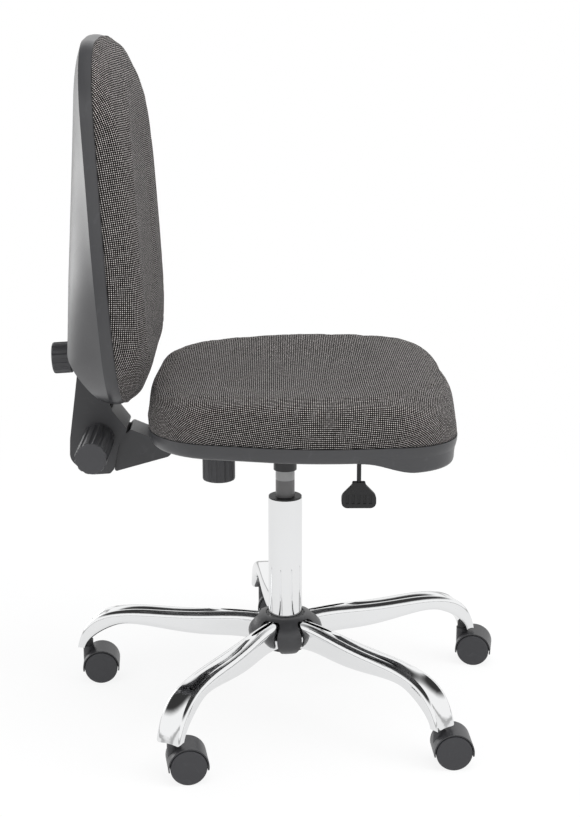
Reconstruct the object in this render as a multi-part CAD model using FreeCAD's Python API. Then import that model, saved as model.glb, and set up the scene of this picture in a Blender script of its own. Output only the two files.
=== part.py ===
import FreeCAD, Part
import math
import os

# Task chair on a five-arm swivel base. Millimetres, +Z up, origin on the floor under the column.
# The sitter faces -Y and has the right hand at -X.

# Casters
WHEEL_DIAMETER = 50.0
WHEEL_WIDTH = 16.0
WHEEL_FACE = 3.2
WHEEL_RIM = 4.5
WHEEL_HUB = 13.0
WHEEL_EDGE = 2.2
WHEEL_CHAMFER = 0.8
WEB_THICKNESS = 13.6
WHEEL_SIDE_GAP = 0.6
HOOD_WALL = 1.8
HOOD_GAP = 1.0
HOOD_TIP_DROP = 5.0
HOOD_OVERHANG = 1.4
WEB_DISC = 46.0
AXLE_DIAMETER = 6.0
CASTER_TRAIL = 19.0
STEM_DIAMETER = 11.0
STEM_IN_HOOD = 27.0
BOSS_DIAMETER = 17.0
SWIVEL_GAP = 0.3
# How far each caster is turned from straight ahead, as the chair was last rolled
CASTER_TURNS = (2.0, -3.9, -8.7, -2.1, 10.1)

# Five-arm base
ARM_COUNT = 5
FIRST_ARM_ANGLE = 6.3
STEM_CIRCLE = 310.0
SOCKET_WALL = 1.5
SOCKET_LENGTH = 9.0
ARM_OVER_CASTER = 3.0
ARM_RISE = 74.0
ARM_BEND_RADIUS = 79.0
ARM_LIP = 14.0
ARM_ROOT_HEIGHT = 45.0
ARM_ROOT_WIDTH = 30.0
ARM_CROWN = 3.0
ARM_BEND_HEIGHT = 24.0
ARM_BEND_WIDTH = 37.0
ARM_BEND_DROP = 7.0
ARM_TIP_THICKNESS = 13.0
ARM_TIP_WIDTH = 41.0
ARM_TIP_CORNER = 8.0
ARM_TUBE_WALL = 2.0
ARM_ROOT_CORNER = 10.5
ARM_BEND_CORNER = 8.5
ARM_EDGE_CORNER = 4.0
ARM_SCOOP = 3.4
ARM_ROOT_DIP = 1.5
COVER_ARCH_CORNER = 8.0
HUB_DIAMETER = 62.0
HUB_BELOW_ARM = 4.0
COVER_DIAMETER = 111.0
COVER_WALL = 3.0
COVER_ABOVE_ARM = 3.5
COLUMN_BELOW_COVER = 1.0
COVER_BELOW_ARM = 2.0
COVER_BELT_DROP = 23.0
COVER_FOOT_RADIUS = 42.0
COVER_ARCH_GAP = 0.9
RING_HEIGHT = 2.8
RING_GAP = 0.2
RING_WIDTH = 4.0
RING_NOTCHES = 16
RING_NOTCH = 3.2

# Column and gas lift
COLUMN_DIAMETER = 50.0
COLUMN_WALL = 1.5
COLUMN_LENGTH = 232.0
COLUMN_FLOOR = 3.0
BUSH_LENGTH = 60.0
BUSH_FLANGE = 2.0
CYLINDER_DIAMETER = 28.0
CYLINDER_WALL = 2.0
CYLINDER_TOP_WALL = 22.0
CYLINDER_LENGTH = 295.0
ROD_DIAMETER = 10.0
ROD_COLLAR = 18.0
ROD_COLLAR_HEIGHT = 3.0
PISTON_HEIGHT = 12.0
BEARING_DIAMETER = 30.0
BEARING_HEIGHT = 7.0
RUNNING_GAP = 0.05
SEAT_LOWERING = 28.0
SEAT_RAISING = 100.0
LOWEST_GAP = 12.5

# Seat plate, lever and back guide
TAPER_LENGTH = 64.0
TAPER_TOP = 26.4
TAPER_WALL = 3.0
WALLS_AHEAD = 20.0
PLATE_THICKNESS = 3.0
PLATE_WIDTH = 148.0
PLATE_FRONT = 94.0
PLATE_REAR = 124.0
LEVER_ROOM = 20.0
GUIDE_FRONT = 50.0
GUIDE_REAR = 122.0
CROSS_PLATE_DROP = 36.0
PIN_DIAMETER = 8.0
PIN_STANDOFF = 7.0
PIN_SEAT = 12.0
PIN_TRAVEL_ROOM = 4.0
LEVER_ROD_DIAMETER = 6.0
LEVER_SIDE = 176.0
LEVER_AHEAD = 98.0
LEVER_PIVOT = 42.5
LEVER_PIVOT_PIN = 4.0
LEVER_DIP = 5.0
LEVER_BEND = 10.0
LEVER_HANG = 47.5
BRACKET_LENGTH = 12.0
BRACKET_EAR = 3.0
PADDLE_NECK = 18.0
PADDLE_WIDTH = 47.0
PADDLE_HEIGHT = 36.0
PADDLE_THICKNESS = 9.0
PADDLE_NECK_HEIGHT = 4.0
PADDLE_FLARE_HEIGHT = 17.0
PADDLE_RIBS = 5
PADDLE_RIB_DEPTH = 1.2
PADDLE_RIB_MARGIN = 6.0
PADDLE_GRIP = 12.0
PADDLE_RADII = (2.0, 8.0, 11.0, 8.0)
BOLT_DIAMETER = 8.0
BOLT_HEAD = 13.0
BOLT_HEAD_HEIGHT = 5.0
BOLT_MARGIN = 14.0
DEPTH_KNOB_AT = 97.0
DEPTH_KNOB_DIAMETER = 48.0
DEPTH_KNOB_HEIGHT = 42.0
KNOB_STUD = 10.0
KNOB_FLUTES = 12
KNOB_FLUTE_RADIUS = 4.5
KNOB_FLUTE_DEPTH = 1.7
KNOB_EDGE = 3.0
KNOB_COLLAR = 4.0
KNOB_CHAMFER = 1.0
ROUND_MIDDLE = 1.0 - math.sqrt(0.5)

# Seat: the corners of its outline before they are rounded, seen from above
SEAT_WIDTH = 492.0
SEAT_FRONT_WIDTH = 452.0
SEAT_REAR_WIDTH = 400.0
SEAT_FRONT = 246.0
SEAT_FRONT_CORNER = 230.0
SEAT_REAR = 198.0
SEAT_REAR_CORNER = 188.0
SEAT_WIDEST_AT = -30.0
SEAT_FRONT_RADIUS = 82.0
SEAT_REAR_RADIUS = 110.0
SEAT_SIDE_RADIUS = 400.0
SEAT_END_RADIUS = 600.0
SEAT_THICKNESS = 58.0
# Up the cushion: share of its thickness, then how far its sides, front and rear are drawn in
SEAT_SWELL = ((0.0, 7.0, 7.0, 7.0), (0.11, 2.0, 3.0, 2.0), (0.38, 0.0, 4.0, 0.5), (0.64, 1.0, 11.0, 4.5),
              (0.82, 4.0, 23.0, 13.0), (0.94, 10.0, 40.0, 28.0), (1.0, 21.0, 62.0, 51.0))
SEAT_DISH = 13.0
SEAT_DISH_WIDTH = 424.0
BOARD_THICKNESS = 8.0
BOARD_INSET = 9.6
PAN_WALL = 3.0
PAN_INSET = 3.0
PAN_HEIGHT = 22.0
PAN_TUCK = 10.0
# Shares of the pan's height down its skirt and of its tuck; then up the front lip
PAN_CURVE = ((0.0, 0.0), (0.35, 0.08), (0.72, 0.32), (0.93, 0.66), (1.0, 1.0))
PAN_LIP_CURVE = ((0.0, 0.88), (0.07, 0.58), (0.3, 0.42), (0.62, 0.36), (1.0, 0.28))
PAN_LIP_START = 0.6
PAN_LIP_WIDTH = 42.0
PAN_OPEN_GAP = 2.0
PAN_FRONT_DROP = 15.0
PAN_DROP_FROM = 95.0
PAN_DROP_TO = 180.0
PAN_SCREW = 4.0
PAN_SCREW_HEAD = 8.0
PAN_SCREW_LENGTH = 6.0
# Three pairs of pan screws: how far behind the column, and the share of the half width out
PAN_SCREWS_BEHIND = (-150.0, -5.0, 118.0)
PAN_SCREW_SHARES = (0.67, 0.76, 0.6)
# How far a cutting shape runs past the face that it cuts
OVERCUT = 1.0

# Back arm and upright
BAR_WIDTH = 50.0
BAR_THICKNESS = 8.0
BAR_DROP = 42.0
BAR_FRONT = 45.0
SLIDE_GAP = 0.1
PIVOT_BEHIND = 267.0
PIVOT_ABOVE_BAR = 15.0
EAR_THICKNESS = 6.0
EAR_RADIUS = 20.0
EAR_LENGTH = 52.0
ARM_SHROUD_WIDTH = 60.0
ARM_SHROUD_WALL = 2.6
# Side view of the arm's moulding from the pivot: behind it (negative is ahead), then above it
ARM_SHROUD_VIEW = ((-117, -9), (-99, -29), (-21, -51), (-21, 7), (-41, 7), (-45, 12), (-76, -1))
ARM_SHROUD_RADII = (4.0, 10.0, 3.0, 3.0, 2.0, 4.0, 20.0)
BACK_LEAN = 3.4
UPRIGHT_WIDTH = 36.0
UPRIGHT_THICKNESS = 8.0
UPRIGHT_LENGTH = 285.0
EYE_DIAMETER = 30.0
EYE_GAP = 0.2
EYE_ROOM = 3.0
UPRIGHT_SHROUD_WIDTH = 72.0
UPRIGHT_SHROUD_WALL = 3.5
# Side view of the moulding round the pivot: behind it (negative is ahead), then above it
SHROUD_VIEW = ((16, 128), (-14, 128), (-16, 60), (-23, 39), (-42, 11), (-28, -10), (-18, -47),
               (-12, -53), (22, -53), (44, -28), (41, 2), (29, 62))
SHROUD_RADII = (2.0, 2.0, 4.0, 3.0, 5.0, 8.0, 4.0, 4.0, 24.0, 20.0, 30.0, 30.0)
SHROUD_NECK = 42.0
SHROUD_MOUTH = 8.0
TILT_KNOB_DIAMETER = 45.0
TILT_KNOB_LENGTH = 105.0
TILT_KNOB_GAP = 1.0
TILT_HEAD = 16.0
TILT_HEAD_HEIGHT = 6.0

# Backrest, measured from the tilt pivot before it is leaned: ahead of it, behind it and above it
BACK_SEAM_AHEAD = 52.0
BACK_BOTTOM = 62.0
BACK_BOTTOM_CORNER = 70.0
BACK_TOP = 563.0
BACK_TOP_CORNER = 548.0
BACK_WIDEST_AT = 250.0
BACK_WIDTH = 432.0
BACK_BOTTOM_WIDTH = 372.0
BACK_TOP_WIDTH = 372.0
BACK_BOTTOM_RADIUS = 105.0
BACK_TOP_RADIUS = 110.0
BACK_SIDE_RADIUS = 600.0
BACK_END_RADIUS = 600.0
BACK_THICKNESS = 39.0
# Out from the seam: share of the thickness, then how far sides, bottom and top are drawn in
BACK_SWELL = ((0.0, 2.0, 2.0, 2.0), (0.155, 0.5, 2.5, 3.0), (0.41, 0.5, 7.5, 9.0), (0.64, 1.5, 16.0, 23.0),
              (0.82, 5.0, 29.0, 47.0), (0.935, 10.0, 44.0, 78.0), (1.0, 18.0, 64.0, 116.0))
BACK_DISH = 6.0
BACK_DISH_WIDTH = 350.0
BACK_BOARD_THICKNESS = 10.0
BACK_BOARD_INSET = 6.0
SEAM_GAP = 0.4
REAR_WALL = 3.0
RIM_DEPTH = 18.0
RIM_INSET = 1.0
BULGE_TOP_BEHIND = -20.0
BULGE_BOTTOM_BEHIND = 27.0
BULGE_BOTTOM = 137.0
BULGE_TOP = 528.0
BULGE_HALF_WIDTH = 70.0
BULGE_TOP_HALF_WIDTH = 62.0
BULGE_RADIUS = 45.0
BULGE_ARCH = 7.0
BULGE_BELOW_SLANT = 60.0
BULGE_SHARES = (0.0, 0.3, 0.62, 1.0)
SLANT_FOOT = 64.0
SLANT_FOOT_AHEAD = 28.0
COVER_SLOT_GAP = 2.0
COVER_SLOT_TOP = 131.0
COVER_SLOT_BEHIND_BOARD = 8.0
HEIGHT_KNOB_AT = 114.0
HEIGHT_KNOB_DIAMETER = 45.0
HEIGHT_KNOB_THICKNESS = 27.0
HEIGHT_KNOB_BEHIND = 32.0
BRACKET_PLATE = 3.0
BRACKET_PLATE_WIDTH = 110.0
BRACKET_BOTTOM = 98.0
BRACKET_TOP = 250.0
SLEEVE_TOP = 190.0
SLEEVE_WALL = 4.0
SLEEVE_REAR_WALL = 8.0
SCREW_DIAMETER = 6.0
SCREW_HEAD = 11.0
SCREW_HEAD_HEIGHT = 4.0
SCREW_BITE = 8.0

# Heights and places that follow from the sizes above
AXLE_HEIGHT = WHEEL_DIAMETER / 2
HOOD_INNER = WHEEL_DIAMETER / 2 + HOOD_GAP
HOOD_RADIUS = HOOD_INNER + HOOD_WALL
ARM_END = AXLE_HEIGHT + HOOD_RADIUS + ARM_OVER_CASTER
ARM_TOP = ARM_END + ARM_RISE
HUB_BOTTOM = ARM_TOP - ARM_ROOT_HEIGHT - HUB_BELOW_ARM
COVER_BOTTOM = ARM_TOP - ARM_ROOT_HEIGHT - COVER_BELOW_ARM
COVER_TOP = ARM_TOP + COVER_ABOVE_ARM
COLUMN_BOTTOM = COVER_BOTTOM - COLUMN_BELOW_COVER
COLUMN_TOP = COLUMN_BOTTOM + COLUMN_LENGTH
BUSH_TOP = COLUMN_TOP + BUSH_FLANGE
TAPER_BOTTOM = BUSH_TOP + LOWEST_GAP + SEAT_LOWERING
CYLINDER_TOP = TAPER_BOTTOM + TAPER_LENGTH
CYLINDER_BOTTOM = CYLINDER_TOP - CYLINDER_LENGTH
PLATE_UNDER = CYLINDER_TOP + LEVER_ROOM
PLATE_TOP = PLATE_UNDER + PLATE_THICKNESS
PAN_FLOOR_TOP = PLATE_TOP + PAN_WALL
BOARD_TOP = PAN_FLOOR_TOP + BOARD_THICKNESS
CUSHION_TOP = BOARD_TOP + SEAT_THICKNESS
PAN_TOP = BOARD_TOP - PAN_OPEN_GAP
PAN_BOTTOM = PAN_TOP - PAN_HEIGHT
BAR_TOP = PLATE_UNDER - BAR_DROP
BAR_BOTTOM = BAR_TOP - BAR_THICKNESS
WALL_INSIDE = BAR_WIDTH / 2 + SLIDE_GAP
WALL_OUTSIDE = WALL_INSIDE + PLATE_THICKNESS
GUIDE_BOTTOM = BAR_BOTTOM - SLIDE_GAP - PLATE_THICKNESS
PIVOT_HEIGHT = BAR_TOP + PIVOT_ABOVE_BAR
LEVER_HEIGHT = CYLINDER_TOP + PIN_STANDOFF + SWIVEL_GAP + LEVER_ROD_DIAMETER / 2
LEVER_REACH = math.hypot(LEVER_SIDE, LEVER_AHEAD)
LEVER_HEADING = math.degrees(math.atan2(LEVER_AHEAD, LEVER_SIDE))
UP = FreeCAD.Vector(0, 0, 1)
SIDEWAYS = FreeCAD.Vector(1, 0, 0)
REARWARD = FreeCAD.Vector(0, 1, 0)
ORIGIN = FreeCAD.Vector(0, 0, 0)
PIVOT = FreeCAD.Vector(0, PIVOT_BEHIND, PIVOT_HEIGHT)


def vec(x, y, z=0.0):
    return FreeCAD.Vector(x, y, z)


def block(x, y, z):
    """Box between two values on each axis."""
    return Part.makeBox(x[1] - x[0], y[1] - y[0], z[1] - z[0], vec(x[0], y[0], z[0]))


def rod(diameter, start, end):
    """Round bar between two points."""
    along = end - start
    return Part.makeCylinder(diameter / 2, along.Length, start, along)


def ring(outer, inner, start, end):
    """Tube between two points, from its two diameters."""
    return rod(outer, start, end).cut(rod(inner, start, end))


def turned(profile, foot, axis):
    """Solid of revolution from (radius, height) points, set on a foot point along an axis."""
    points = [vec(radius, 0, height) for radius, height in profile]
    face = Part.Face(Part.makePolygon(points + points[:1]))
    solid = face.revolve(ORIGIN, UP, 360)
    solid.Placement = FreeCAD.Placement(foot, FreeCAD.Rotation(UP, axis))
    return solid


def outline(corners, radii, place):
    """Closed wire of straight runs joined by tangent arcs; place maps the flat point into space."""
    count = len(corners)
    bends = []
    for i in range(count):
        here = corners[i]
        arrive = here - corners[i - 1]
        leave = corners[(i + 1) % count] - here
        room = 0.49 * min(arrive.Length, leave.Length)
        arrive.normalize()
        leave.normalize()
        half_turn = arrive.getAngle(leave) / 2
        reach = min(radii[i] * math.tan(half_turn), room)
        radius = reach / math.tan(half_turn)
        inward = (leave - arrive).normalize()
        middle = here + inward * (radius / math.cos(half_turn) - radius)
        bends.append((here - arrive * reach, middle, here + leave * reach))
    edges = []
    for i in range(count):
        start, middle, end = [place(point.x, point.y) for point in bends[i]]
        after = bends[(i + 1) % count][0]
        edges.append(Part.Arc(start, middle, end).toShape())
        edges.append(Part.makeLine(end, place(after.x, after.y)))
    return Part.Wire(edges)


def inset(corners, offsets):
    """Corners of an anticlockwise outline after each side has moved inwards by its own offset."""
    sides = []
    for i, corner in enumerate(corners):
        along = (corners[(i + 1) % len(corners)] - corner).normalize()
        sides.append((corner + vec(-along.y, along.x) * offsets[i], along))
    moved = []
    for i in range(len(corners)):
        start, along = sides[i - 1]
        other, across = sides[i]
        gap = other - start
        spread = along.x * across.y - along.y * across.x
        moved.append(start + along * ((gap.x * across.y - gap.y * across.x) / spread))
    return moved


def shrunk(radii, offset):
    return [max(radius - offset, radius * 0.3) for radius in radii]


def prism(corners, radii, place, along):
    """Straight solid on an outline."""
    return Part.Face(outline(corners, radii, place)).extrude(along)


def side_view(x):
    """Places flat (y, z) points on the plane at this x."""
    return lambda y, z: vec(x, y, z)


def fused(first, *others):
    solid = first
    for other in others:
        solid = solid.fuse(other)
    return solid.removeSplitter()


def drilled(solid, *tools):
    for tool in tools:
        solid = solid.cut(tool)
    return solid


def both_sides(solid):
    """A solid and its mirror image in the middle plane."""
    return [solid, solid.mirror(ORIGIN, SIDEWAYS)]


def fluted_knob(diameter, length, foot, axis):
    """Clamp knob: a plain collar, then a fluted grip with a rounded end."""
    radius = diameter / 2
    eased = KNOB_EDGE * ROUND_MIDDLE
    profile = [(0, 0), (radius - KNOB_CHAMFER, 0), (radius, KNOB_CHAMFER), (radius, length - KNOB_EDGE)]
    profile += [(radius - eased, length - eased), (radius - KNOB_EDGE, length), (0, length)]
    knob = turned(profile, ORIGIN, UP)
    pitch_radius = radius + KNOB_FLUTE_RADIUS - KNOB_FLUTE_DEPTH
    for i in range(KNOB_FLUTES):
        angle = 2 * math.pi * i / KNOB_FLUTES
        at = vec(pitch_radius * math.cos(angle), pitch_radius * math.sin(angle), KNOB_COLLAR)
        knob = knob.cut(Part.makeCylinder(KNOB_FLUTE_RADIUS, length, at, UP))
    knob.Placement = FreeCAD.Placement(foot, FreeCAD.Rotation(UP, axis))
    return knob


# Casters, made with the stem on the Z axis and the wheels trailing along +X

def axle_line(side_from, side_to):
    return vec(CASTER_TRAIL, side_from, AXLE_HEIGHT), vec(CASTER_TRAIL, side_to, AXLE_HEIGHT)


def caster_hood():
    inner_side = WEB_THICKNESS / 2 + WHEEL_SIDE_GAP
    half_width = inner_side + WHEEL_WIDTH - HOOD_OVERHANG
    shell = ring(2 * HOOD_RADIUS, 2 * HOOD_INNER, *axle_line(-half_width, half_width))
    below = AXLE_HEIGHT - HOOD_TIP_DROP
    far = CASTER_TRAIL + 2 * HOOD_RADIUS
    shell = shell.cut(block((-far, far), (-far, far), (below - far, below)))
    web = rod(WEB_DISC, *axle_line(-WEB_THICKNESS / 2, WEB_THICKNESS / 2))
    crown = rod(2 * HOOD_INNER + HOOD_WALL, *axle_line(-WEB_THICKNESS / 2, WEB_THICKNESS / 2))
    crown = crown.cut(block((-far, far), (-far, far), (below - far, below)))
    boss = rod(BOSS_DIAMETER, vec(0, 0, AXLE_HEIGHT), vec(0, 0, ARM_END - SWIVEL_GAP))
    for side in (-1, 1):
        room = rod(2 * HOOD_INNER, *axle_line(side * WEB_THICKNESS / 2, side * BOSS_DIAMETER))
        boss = boss.cut(room)
    hood = fused(shell, web, crown, boss)
    stem_hole = rod(STEM_DIAMETER, vec(0, 0, ARM_END - STEM_IN_HOOD), vec(0, 0, ARM_END))
    axle_hole = rod(AXLE_DIAMETER, *axle_line(-WEB_THICKNESS, WEB_THICKNESS))
    return drilled(hood, stem_hole, axle_hole)


def caster_pins():
    stem = rod(STEM_DIAMETER, vec(0, 0, ARM_END - STEM_IN_HOOD), vec(0, 0, ARM_END + SOCKET_LENGTH - 1.0))
    half = WEB_THICKNESS / 2 + WHEEL_SIDE_GAP + WHEEL_WIDTH - WHEEL_FACE - 1.0
    return Part.makeCompound([stem, rod(AXLE_DIAMETER, *axle_line(-half, half))])


def caster_wheel(side):
    radius = WHEEL_DIAMETER / 2
    bore = AXLE_DIAMETER / 2 + RUNNING_GAP
    floor = WHEEL_WIDTH - WHEEL_FACE
    profile = [(bore, 0), (WHEEL_HUB / 2, 0), (WHEEL_HUB / 2, floor), (radius - WHEEL_RIM, floor)]
    profile += [(radius - WHEEL_RIM, 0), (radius - WHEEL_CHAMFER, 0), (radius, WHEEL_CHAMFER)]
    eased = WHEEL_EDGE * ROUND_MIDDLE
    profile += [(radius, WHEEL_WIDTH - WHEEL_EDGE), (radius - eased, WHEEL_WIDTH - eased)]
    profile += [(radius - WHEEL_EDGE, WHEEL_WIDTH), (0, WHEEL_WIDTH), (0, floor), (bore, floor)]
    inner_side = side * (WEB_THICKNESS / 2 + WHEEL_SIDE_GAP)
    return turned(profile, vec(CASTER_TRAIL, inner_side, AXLE_HEIGHT), vec(0, side, 0))


def arm_angle(k):
    return FIRST_ARM_ANGLE + 360.0 * k / ARM_COUNT


def stem_point(k):
    angle = math.radians(arm_angle(k))
    return vec(STEM_CIRCLE * math.cos(angle), STEM_CIRCLE * math.sin(angle))


def placed_caster(solid, k):
    """Turns a caster piece to its trailing direction and stands it on its stem point."""
    turned_piece = solid.copy()
    turned_piece.rotate(ORIGIN, UP, -90 - CASTER_TURNS[k])
    turned_piece.translate(stem_point(k))
    return turned_piece


# Base, with the arm made along +X

def arm_section(radius, height, tilt, thickness, width, corner, crown):
    """Closed section across the arm: flat under, straight sides, a top that crowns or is scooped."""
    tilt_angle = math.radians(tilt)
    up = vec(math.sin(tilt_angle), 0, math.cos(tilt_angle))
    body = thickness - max(crown, 0.0)
    middle = vec(radius, 0, height) - up * (thickness - body / 2)
    half = width / 2
    rise = body / 2
    slant = corner * ROUND_MIDDLE

    def at(side, level):
        return middle + vec(0, side, 0) + up * level

    points = []
    for side, level in ((-1, -1), (1, -1), (1, 1), (-1, 1)):
        flat = at(side * (half - corner), level * rise)
        upright = at(side * half, level * (rise - corner))
        knee = at(side * (half - slant), level * (rise - slant))
        order = (upright, knee, flat) if side == level else (flat, knee, upright)
        points.append(order)
    top_middle = at(0, rise + crown)
    edges = []
    for i, (start, knee, end) in enumerate(points):
        after = points[(i + 1) % 4][0]
        edges.append(Part.Arc(start, knee, end).toShape())
        if i == 2:
            edges.append(Part.Arc(end, top_middle, after).toShape())
        else:
            edges.append(Part.makeLine(end, after))
    return Part.Wire(edges)


def arm_stations(wall):
    """Sections from inside the hub out to the lip; wall thins them all round for the hollow."""
    bend_at = STEM_CIRCLE + ARM_LIP - ARM_BEND_RADIUS
    bend_top = ARM_TOP - ARM_BEND_DROP
    centre = bend_top - ARM_BEND_RADIUS
    straight = [
        (HUB_DIAMETER * 0.35, ARM_TOP - ARM_ROOT_DIP, 0.0,
         ARM_ROOT_HEIGHT, ARM_ROOT_WIDTH, ARM_ROOT_CORNER, ARM_CROWN),
        (0.5 * bend_at, ARM_TOP, 1.5,
         ARM_ROOT_HEIGHT * 0.87, ARM_ROOT_WIDTH + 1.0, ARM_ROOT_CORNER - 1.0, ARM_CROWN),
        (0.8 * bend_at, ARM_TOP - 0.4 * ARM_BEND_DROP, 3.0,
         ARM_BEND_HEIGHT + 6.5, ARM_BEND_WIDTH - 1.5, ARM_BEND_CORNER + 1.0, 0.8 * ARM_CROWN),
    ]
    last_turn = math.degrees(math.acos((ARM_END - centre) / ARM_BEND_RADIUS))
    bend = []
    for share, thickness, width, corner, crown in (
        (0.1, ARM_BEND_HEIGHT, ARM_BEND_WIDTH, ARM_BEND_CORNER, 0.5 * ARM_CROWN),
        (0.4, ARM_BEND_HEIGHT - 0.5, ARM_BEND_WIDTH + 2.0, ARM_EDGE_CORNER + 3.0, -0.4 * ARM_SCOOP),
        (0.75, ARM_TIP_THICKNESS + 4.0, ARM_TIP_WIDTH - 1.5, ARM_EDGE_CORNER + 1.0, -ARM_SCOOP),
        (1.1, ARM_TIP_THICKNESS, ARM_TIP_WIDTH, ARM_EDGE_CORNER, -0.15 * ARM_SCOOP),
    ):
        turn = math.radians(share * last_turn)
        out = bend_at + ARM_BEND_RADIUS * math.sin(turn)
        high = centre + ARM_BEND_RADIUS * math.cos(turn)
        bend.append((out, high, share * last_turn, thickness, width, corner, crown))
    stations = straight + (bend[:2] if wall else bend)
    sections = []
    for out, high, tilt, thickness, width, corner, crown in stations:
        angle = math.radians(tilt)
        sections.append(arm_section(out - wall * math.sin(angle), high - wall * math.cos(angle), tilt,
                                    thickness - 2 * wall, width - 2 * wall, corner - wall, crown))
    return sections


def socket_foot():
    return vec(STEM_CIRCLE, 0, ARM_END)


def base_arm():
    arm = Part.makeLoft(arm_stations(0.0), True)
    arm = arm.cut(Part.makeLoft(arm_stations(ARM_TUBE_WALL), True))
    hub_room = rod(HUB_DIAMETER, vec(0, 0, 0), vec(0, 0, ARM_TOP + ARM_ROOT_HEIGHT))
    socket_top = socket_foot() + UP * SOCKET_LENGTH
    socket_room = rod(STEM_DIAMETER + 2 * SOCKET_WALL, vec(STEM_CIRCLE, 0, 0), socket_top)
    half = ARM_TIP_WIDTH / 2 + 0.5
    roof = ARM_TOP + COVER_ARCH_GAP / 2
    end_view = [vec(-half, ARM_END), vec(half, ARM_END), vec(half, roof), vec(-half, roof)]
    radii = (ARM_TIP_CORNER, ARM_TIP_CORNER, ARM_TUBE_WALL, ARM_TUBE_WALL)
    tongue = prism(end_view, radii, side_view(0), vec(2 * STEM_CIRCLE, 0, 0))
    trimmed = drilled(arm.common(tongue), hub_room, socket_room)
    # The roof can part a crumb of the crown from the root; only the arm itself is kept
    return max(trimmed.Solids, key=lambda solid: solid.Volume)


def caster_socket():
    bore = STEM_DIAMETER + 2 * RUNNING_GAP
    foot = socket_foot()
    sleeve = rod(STEM_DIAMETER + 2 * SOCKET_WALL, foot, foot + UP * SOCKET_LENGTH)
    return sleeve.cut(rod(bore, foot, foot + UP * (SOCKET_LENGTH - 0.5)))


def around(solid, k):
    turned_piece = solid.copy()
    turned_piece.rotate(ORIGIN, UP, arm_angle(k))
    return turned_piece


def hub_core():
    return ring(HUB_DIAMETER, COLUMN_DIAMETER, vec(0, 0, HUB_BOTTOM), vec(0, 0, ARM_TOP))


def hub_cover():
    """Round moulding with a hole for the column and five arches that drop over the arms."""
    hole = COLUMN_DIAMETER / 2 + RING_GAP + RING_WIDTH
    belt = ARM_TOP - COVER_BELT_DROP

    def half_section(inward):
        radius = COVER_DIAMETER / 2 - inward
        top = vec(hole, 0, COVER_TOP - inward)
        shoulder = vec(hole + 0.65 * (radius - hole), 0, belt + 0.73 * (top.z - belt))
        foot = vec(COVER_FOOT_RADIUS - inward, 0, COVER_BOTTOM)
        flank = vec(foot.x + 0.7 * (radius - foot.x), 0, belt - 0.58 * (belt - COVER_BOTTOM))
        waist = vec(radius, 0, belt)
        return Part.Arc(top, shoulder, waist).toShape(), Part.Arc(waist, flank, foot).toShape()

    outer = half_section(0.0)
    inner = half_section(COVER_WALL)
    rim = Part.makeLine(outer[0].Vertexes[0].Point, inner[0].Vertexes[0].Point)
    hem = Part.makeLine(outer[1].Vertexes[1].Point, inner[1].Vertexes[1].Point)
    wire = Part.Wire(Part.__sortEdges__([*outer, hem, *inner, rim]))
    cover = Part.Face(wire).revolve(ORIGIN, UP, 360)
    half = ARM_ROOT_WIDTH / 2 + COVER_ARCH_GAP
    arch_top = ARM_TOP + COVER_ARCH_GAP
    below = COVER_BOTTOM - 2 * COVER_ARCH_GAP
    arch_view = [vec(-half, below), vec(half, below), vec(half, arch_top), vec(-half, arch_top)]
    radii = (COVER_ARCH_GAP, COVER_ARCH_GAP, COVER_ARCH_CORNER, COVER_ARCH_CORNER)
    arch = prism(arch_view, radii, side_view(HUB_DIAMETER / 4), vec(COVER_DIAMETER, 0, 0))
    return drilled(cover, *[around(arch, k) for k in range(ARM_COUNT)])


def column_ring():
    """Black ring round the foot of the column, notched on its outer edge."""
    inner = COLUMN_DIAMETER + 2 * RING_GAP
    outer = inner + 2 * RING_WIDTH - 2 * RING_GAP
    foot = ARM_TOP
    plain = ring(outer, inner, vec(0, 0, foot), vec(0, 0, foot + RING_HEIGHT))
    half = RING_NOTCH / 2
    notch = block((outer / 2 - half, outer / 2 + half), (-half, half), (foot, foot + RING_HEIGHT))
    for i in range(RING_NOTCHES):
        cutter = notch.copy()
        cutter.rotate(ORIGIN, UP, 360.0 * i / RING_NOTCHES)
        plain = plain.cut(cutter)
    return plain


# Column and gas lift

def column_tube():
    inside = COLUMN_DIAMETER - 2 * COLUMN_WALL
    tube = ring(COLUMN_DIAMETER, inside, vec(0, 0, COLUMN_BOTTOM), vec(0, 0, COLUMN_TOP))
    hole = ROD_DIAMETER + 2 * RUNNING_GAP
    floor = ring(inside, hole, vec(0, 0, COLUMN_BOTTOM), vec(0, 0, COLUMN_BOTTOM + COLUMN_FLOOR))
    return fused(tube, floor)


def column_bush():
    bore = CYLINDER_DIAMETER + 2 * RUNNING_GAP
    outside = COLUMN_DIAMETER - 2 * COLUMN_WALL
    sleeve = rod(outside, vec(0, 0, COLUMN_TOP - BUSH_LENGTH), vec(0, 0, COLUMN_TOP))
    flange = rod(COLUMN_DIAMETER - COLUMN_WALL, vec(0, 0, COLUMN_TOP), vec(0, 0, BUSH_TOP))
    return fused(sleeve, flange).cut(rod(bore, vec(0, 0, COLUMN_BOTTOM), vec(0, 0, BUSH_TOP + 1)))


def thrust_bearing():
    foot = COLUMN_BOTTOM + COLUMN_FLOOR
    return ring(BEARING_DIAMETER, ROD_DIAMETER, vec(0, 0, foot), vec(0, 0, foot + BEARING_HEIGHT))


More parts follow.
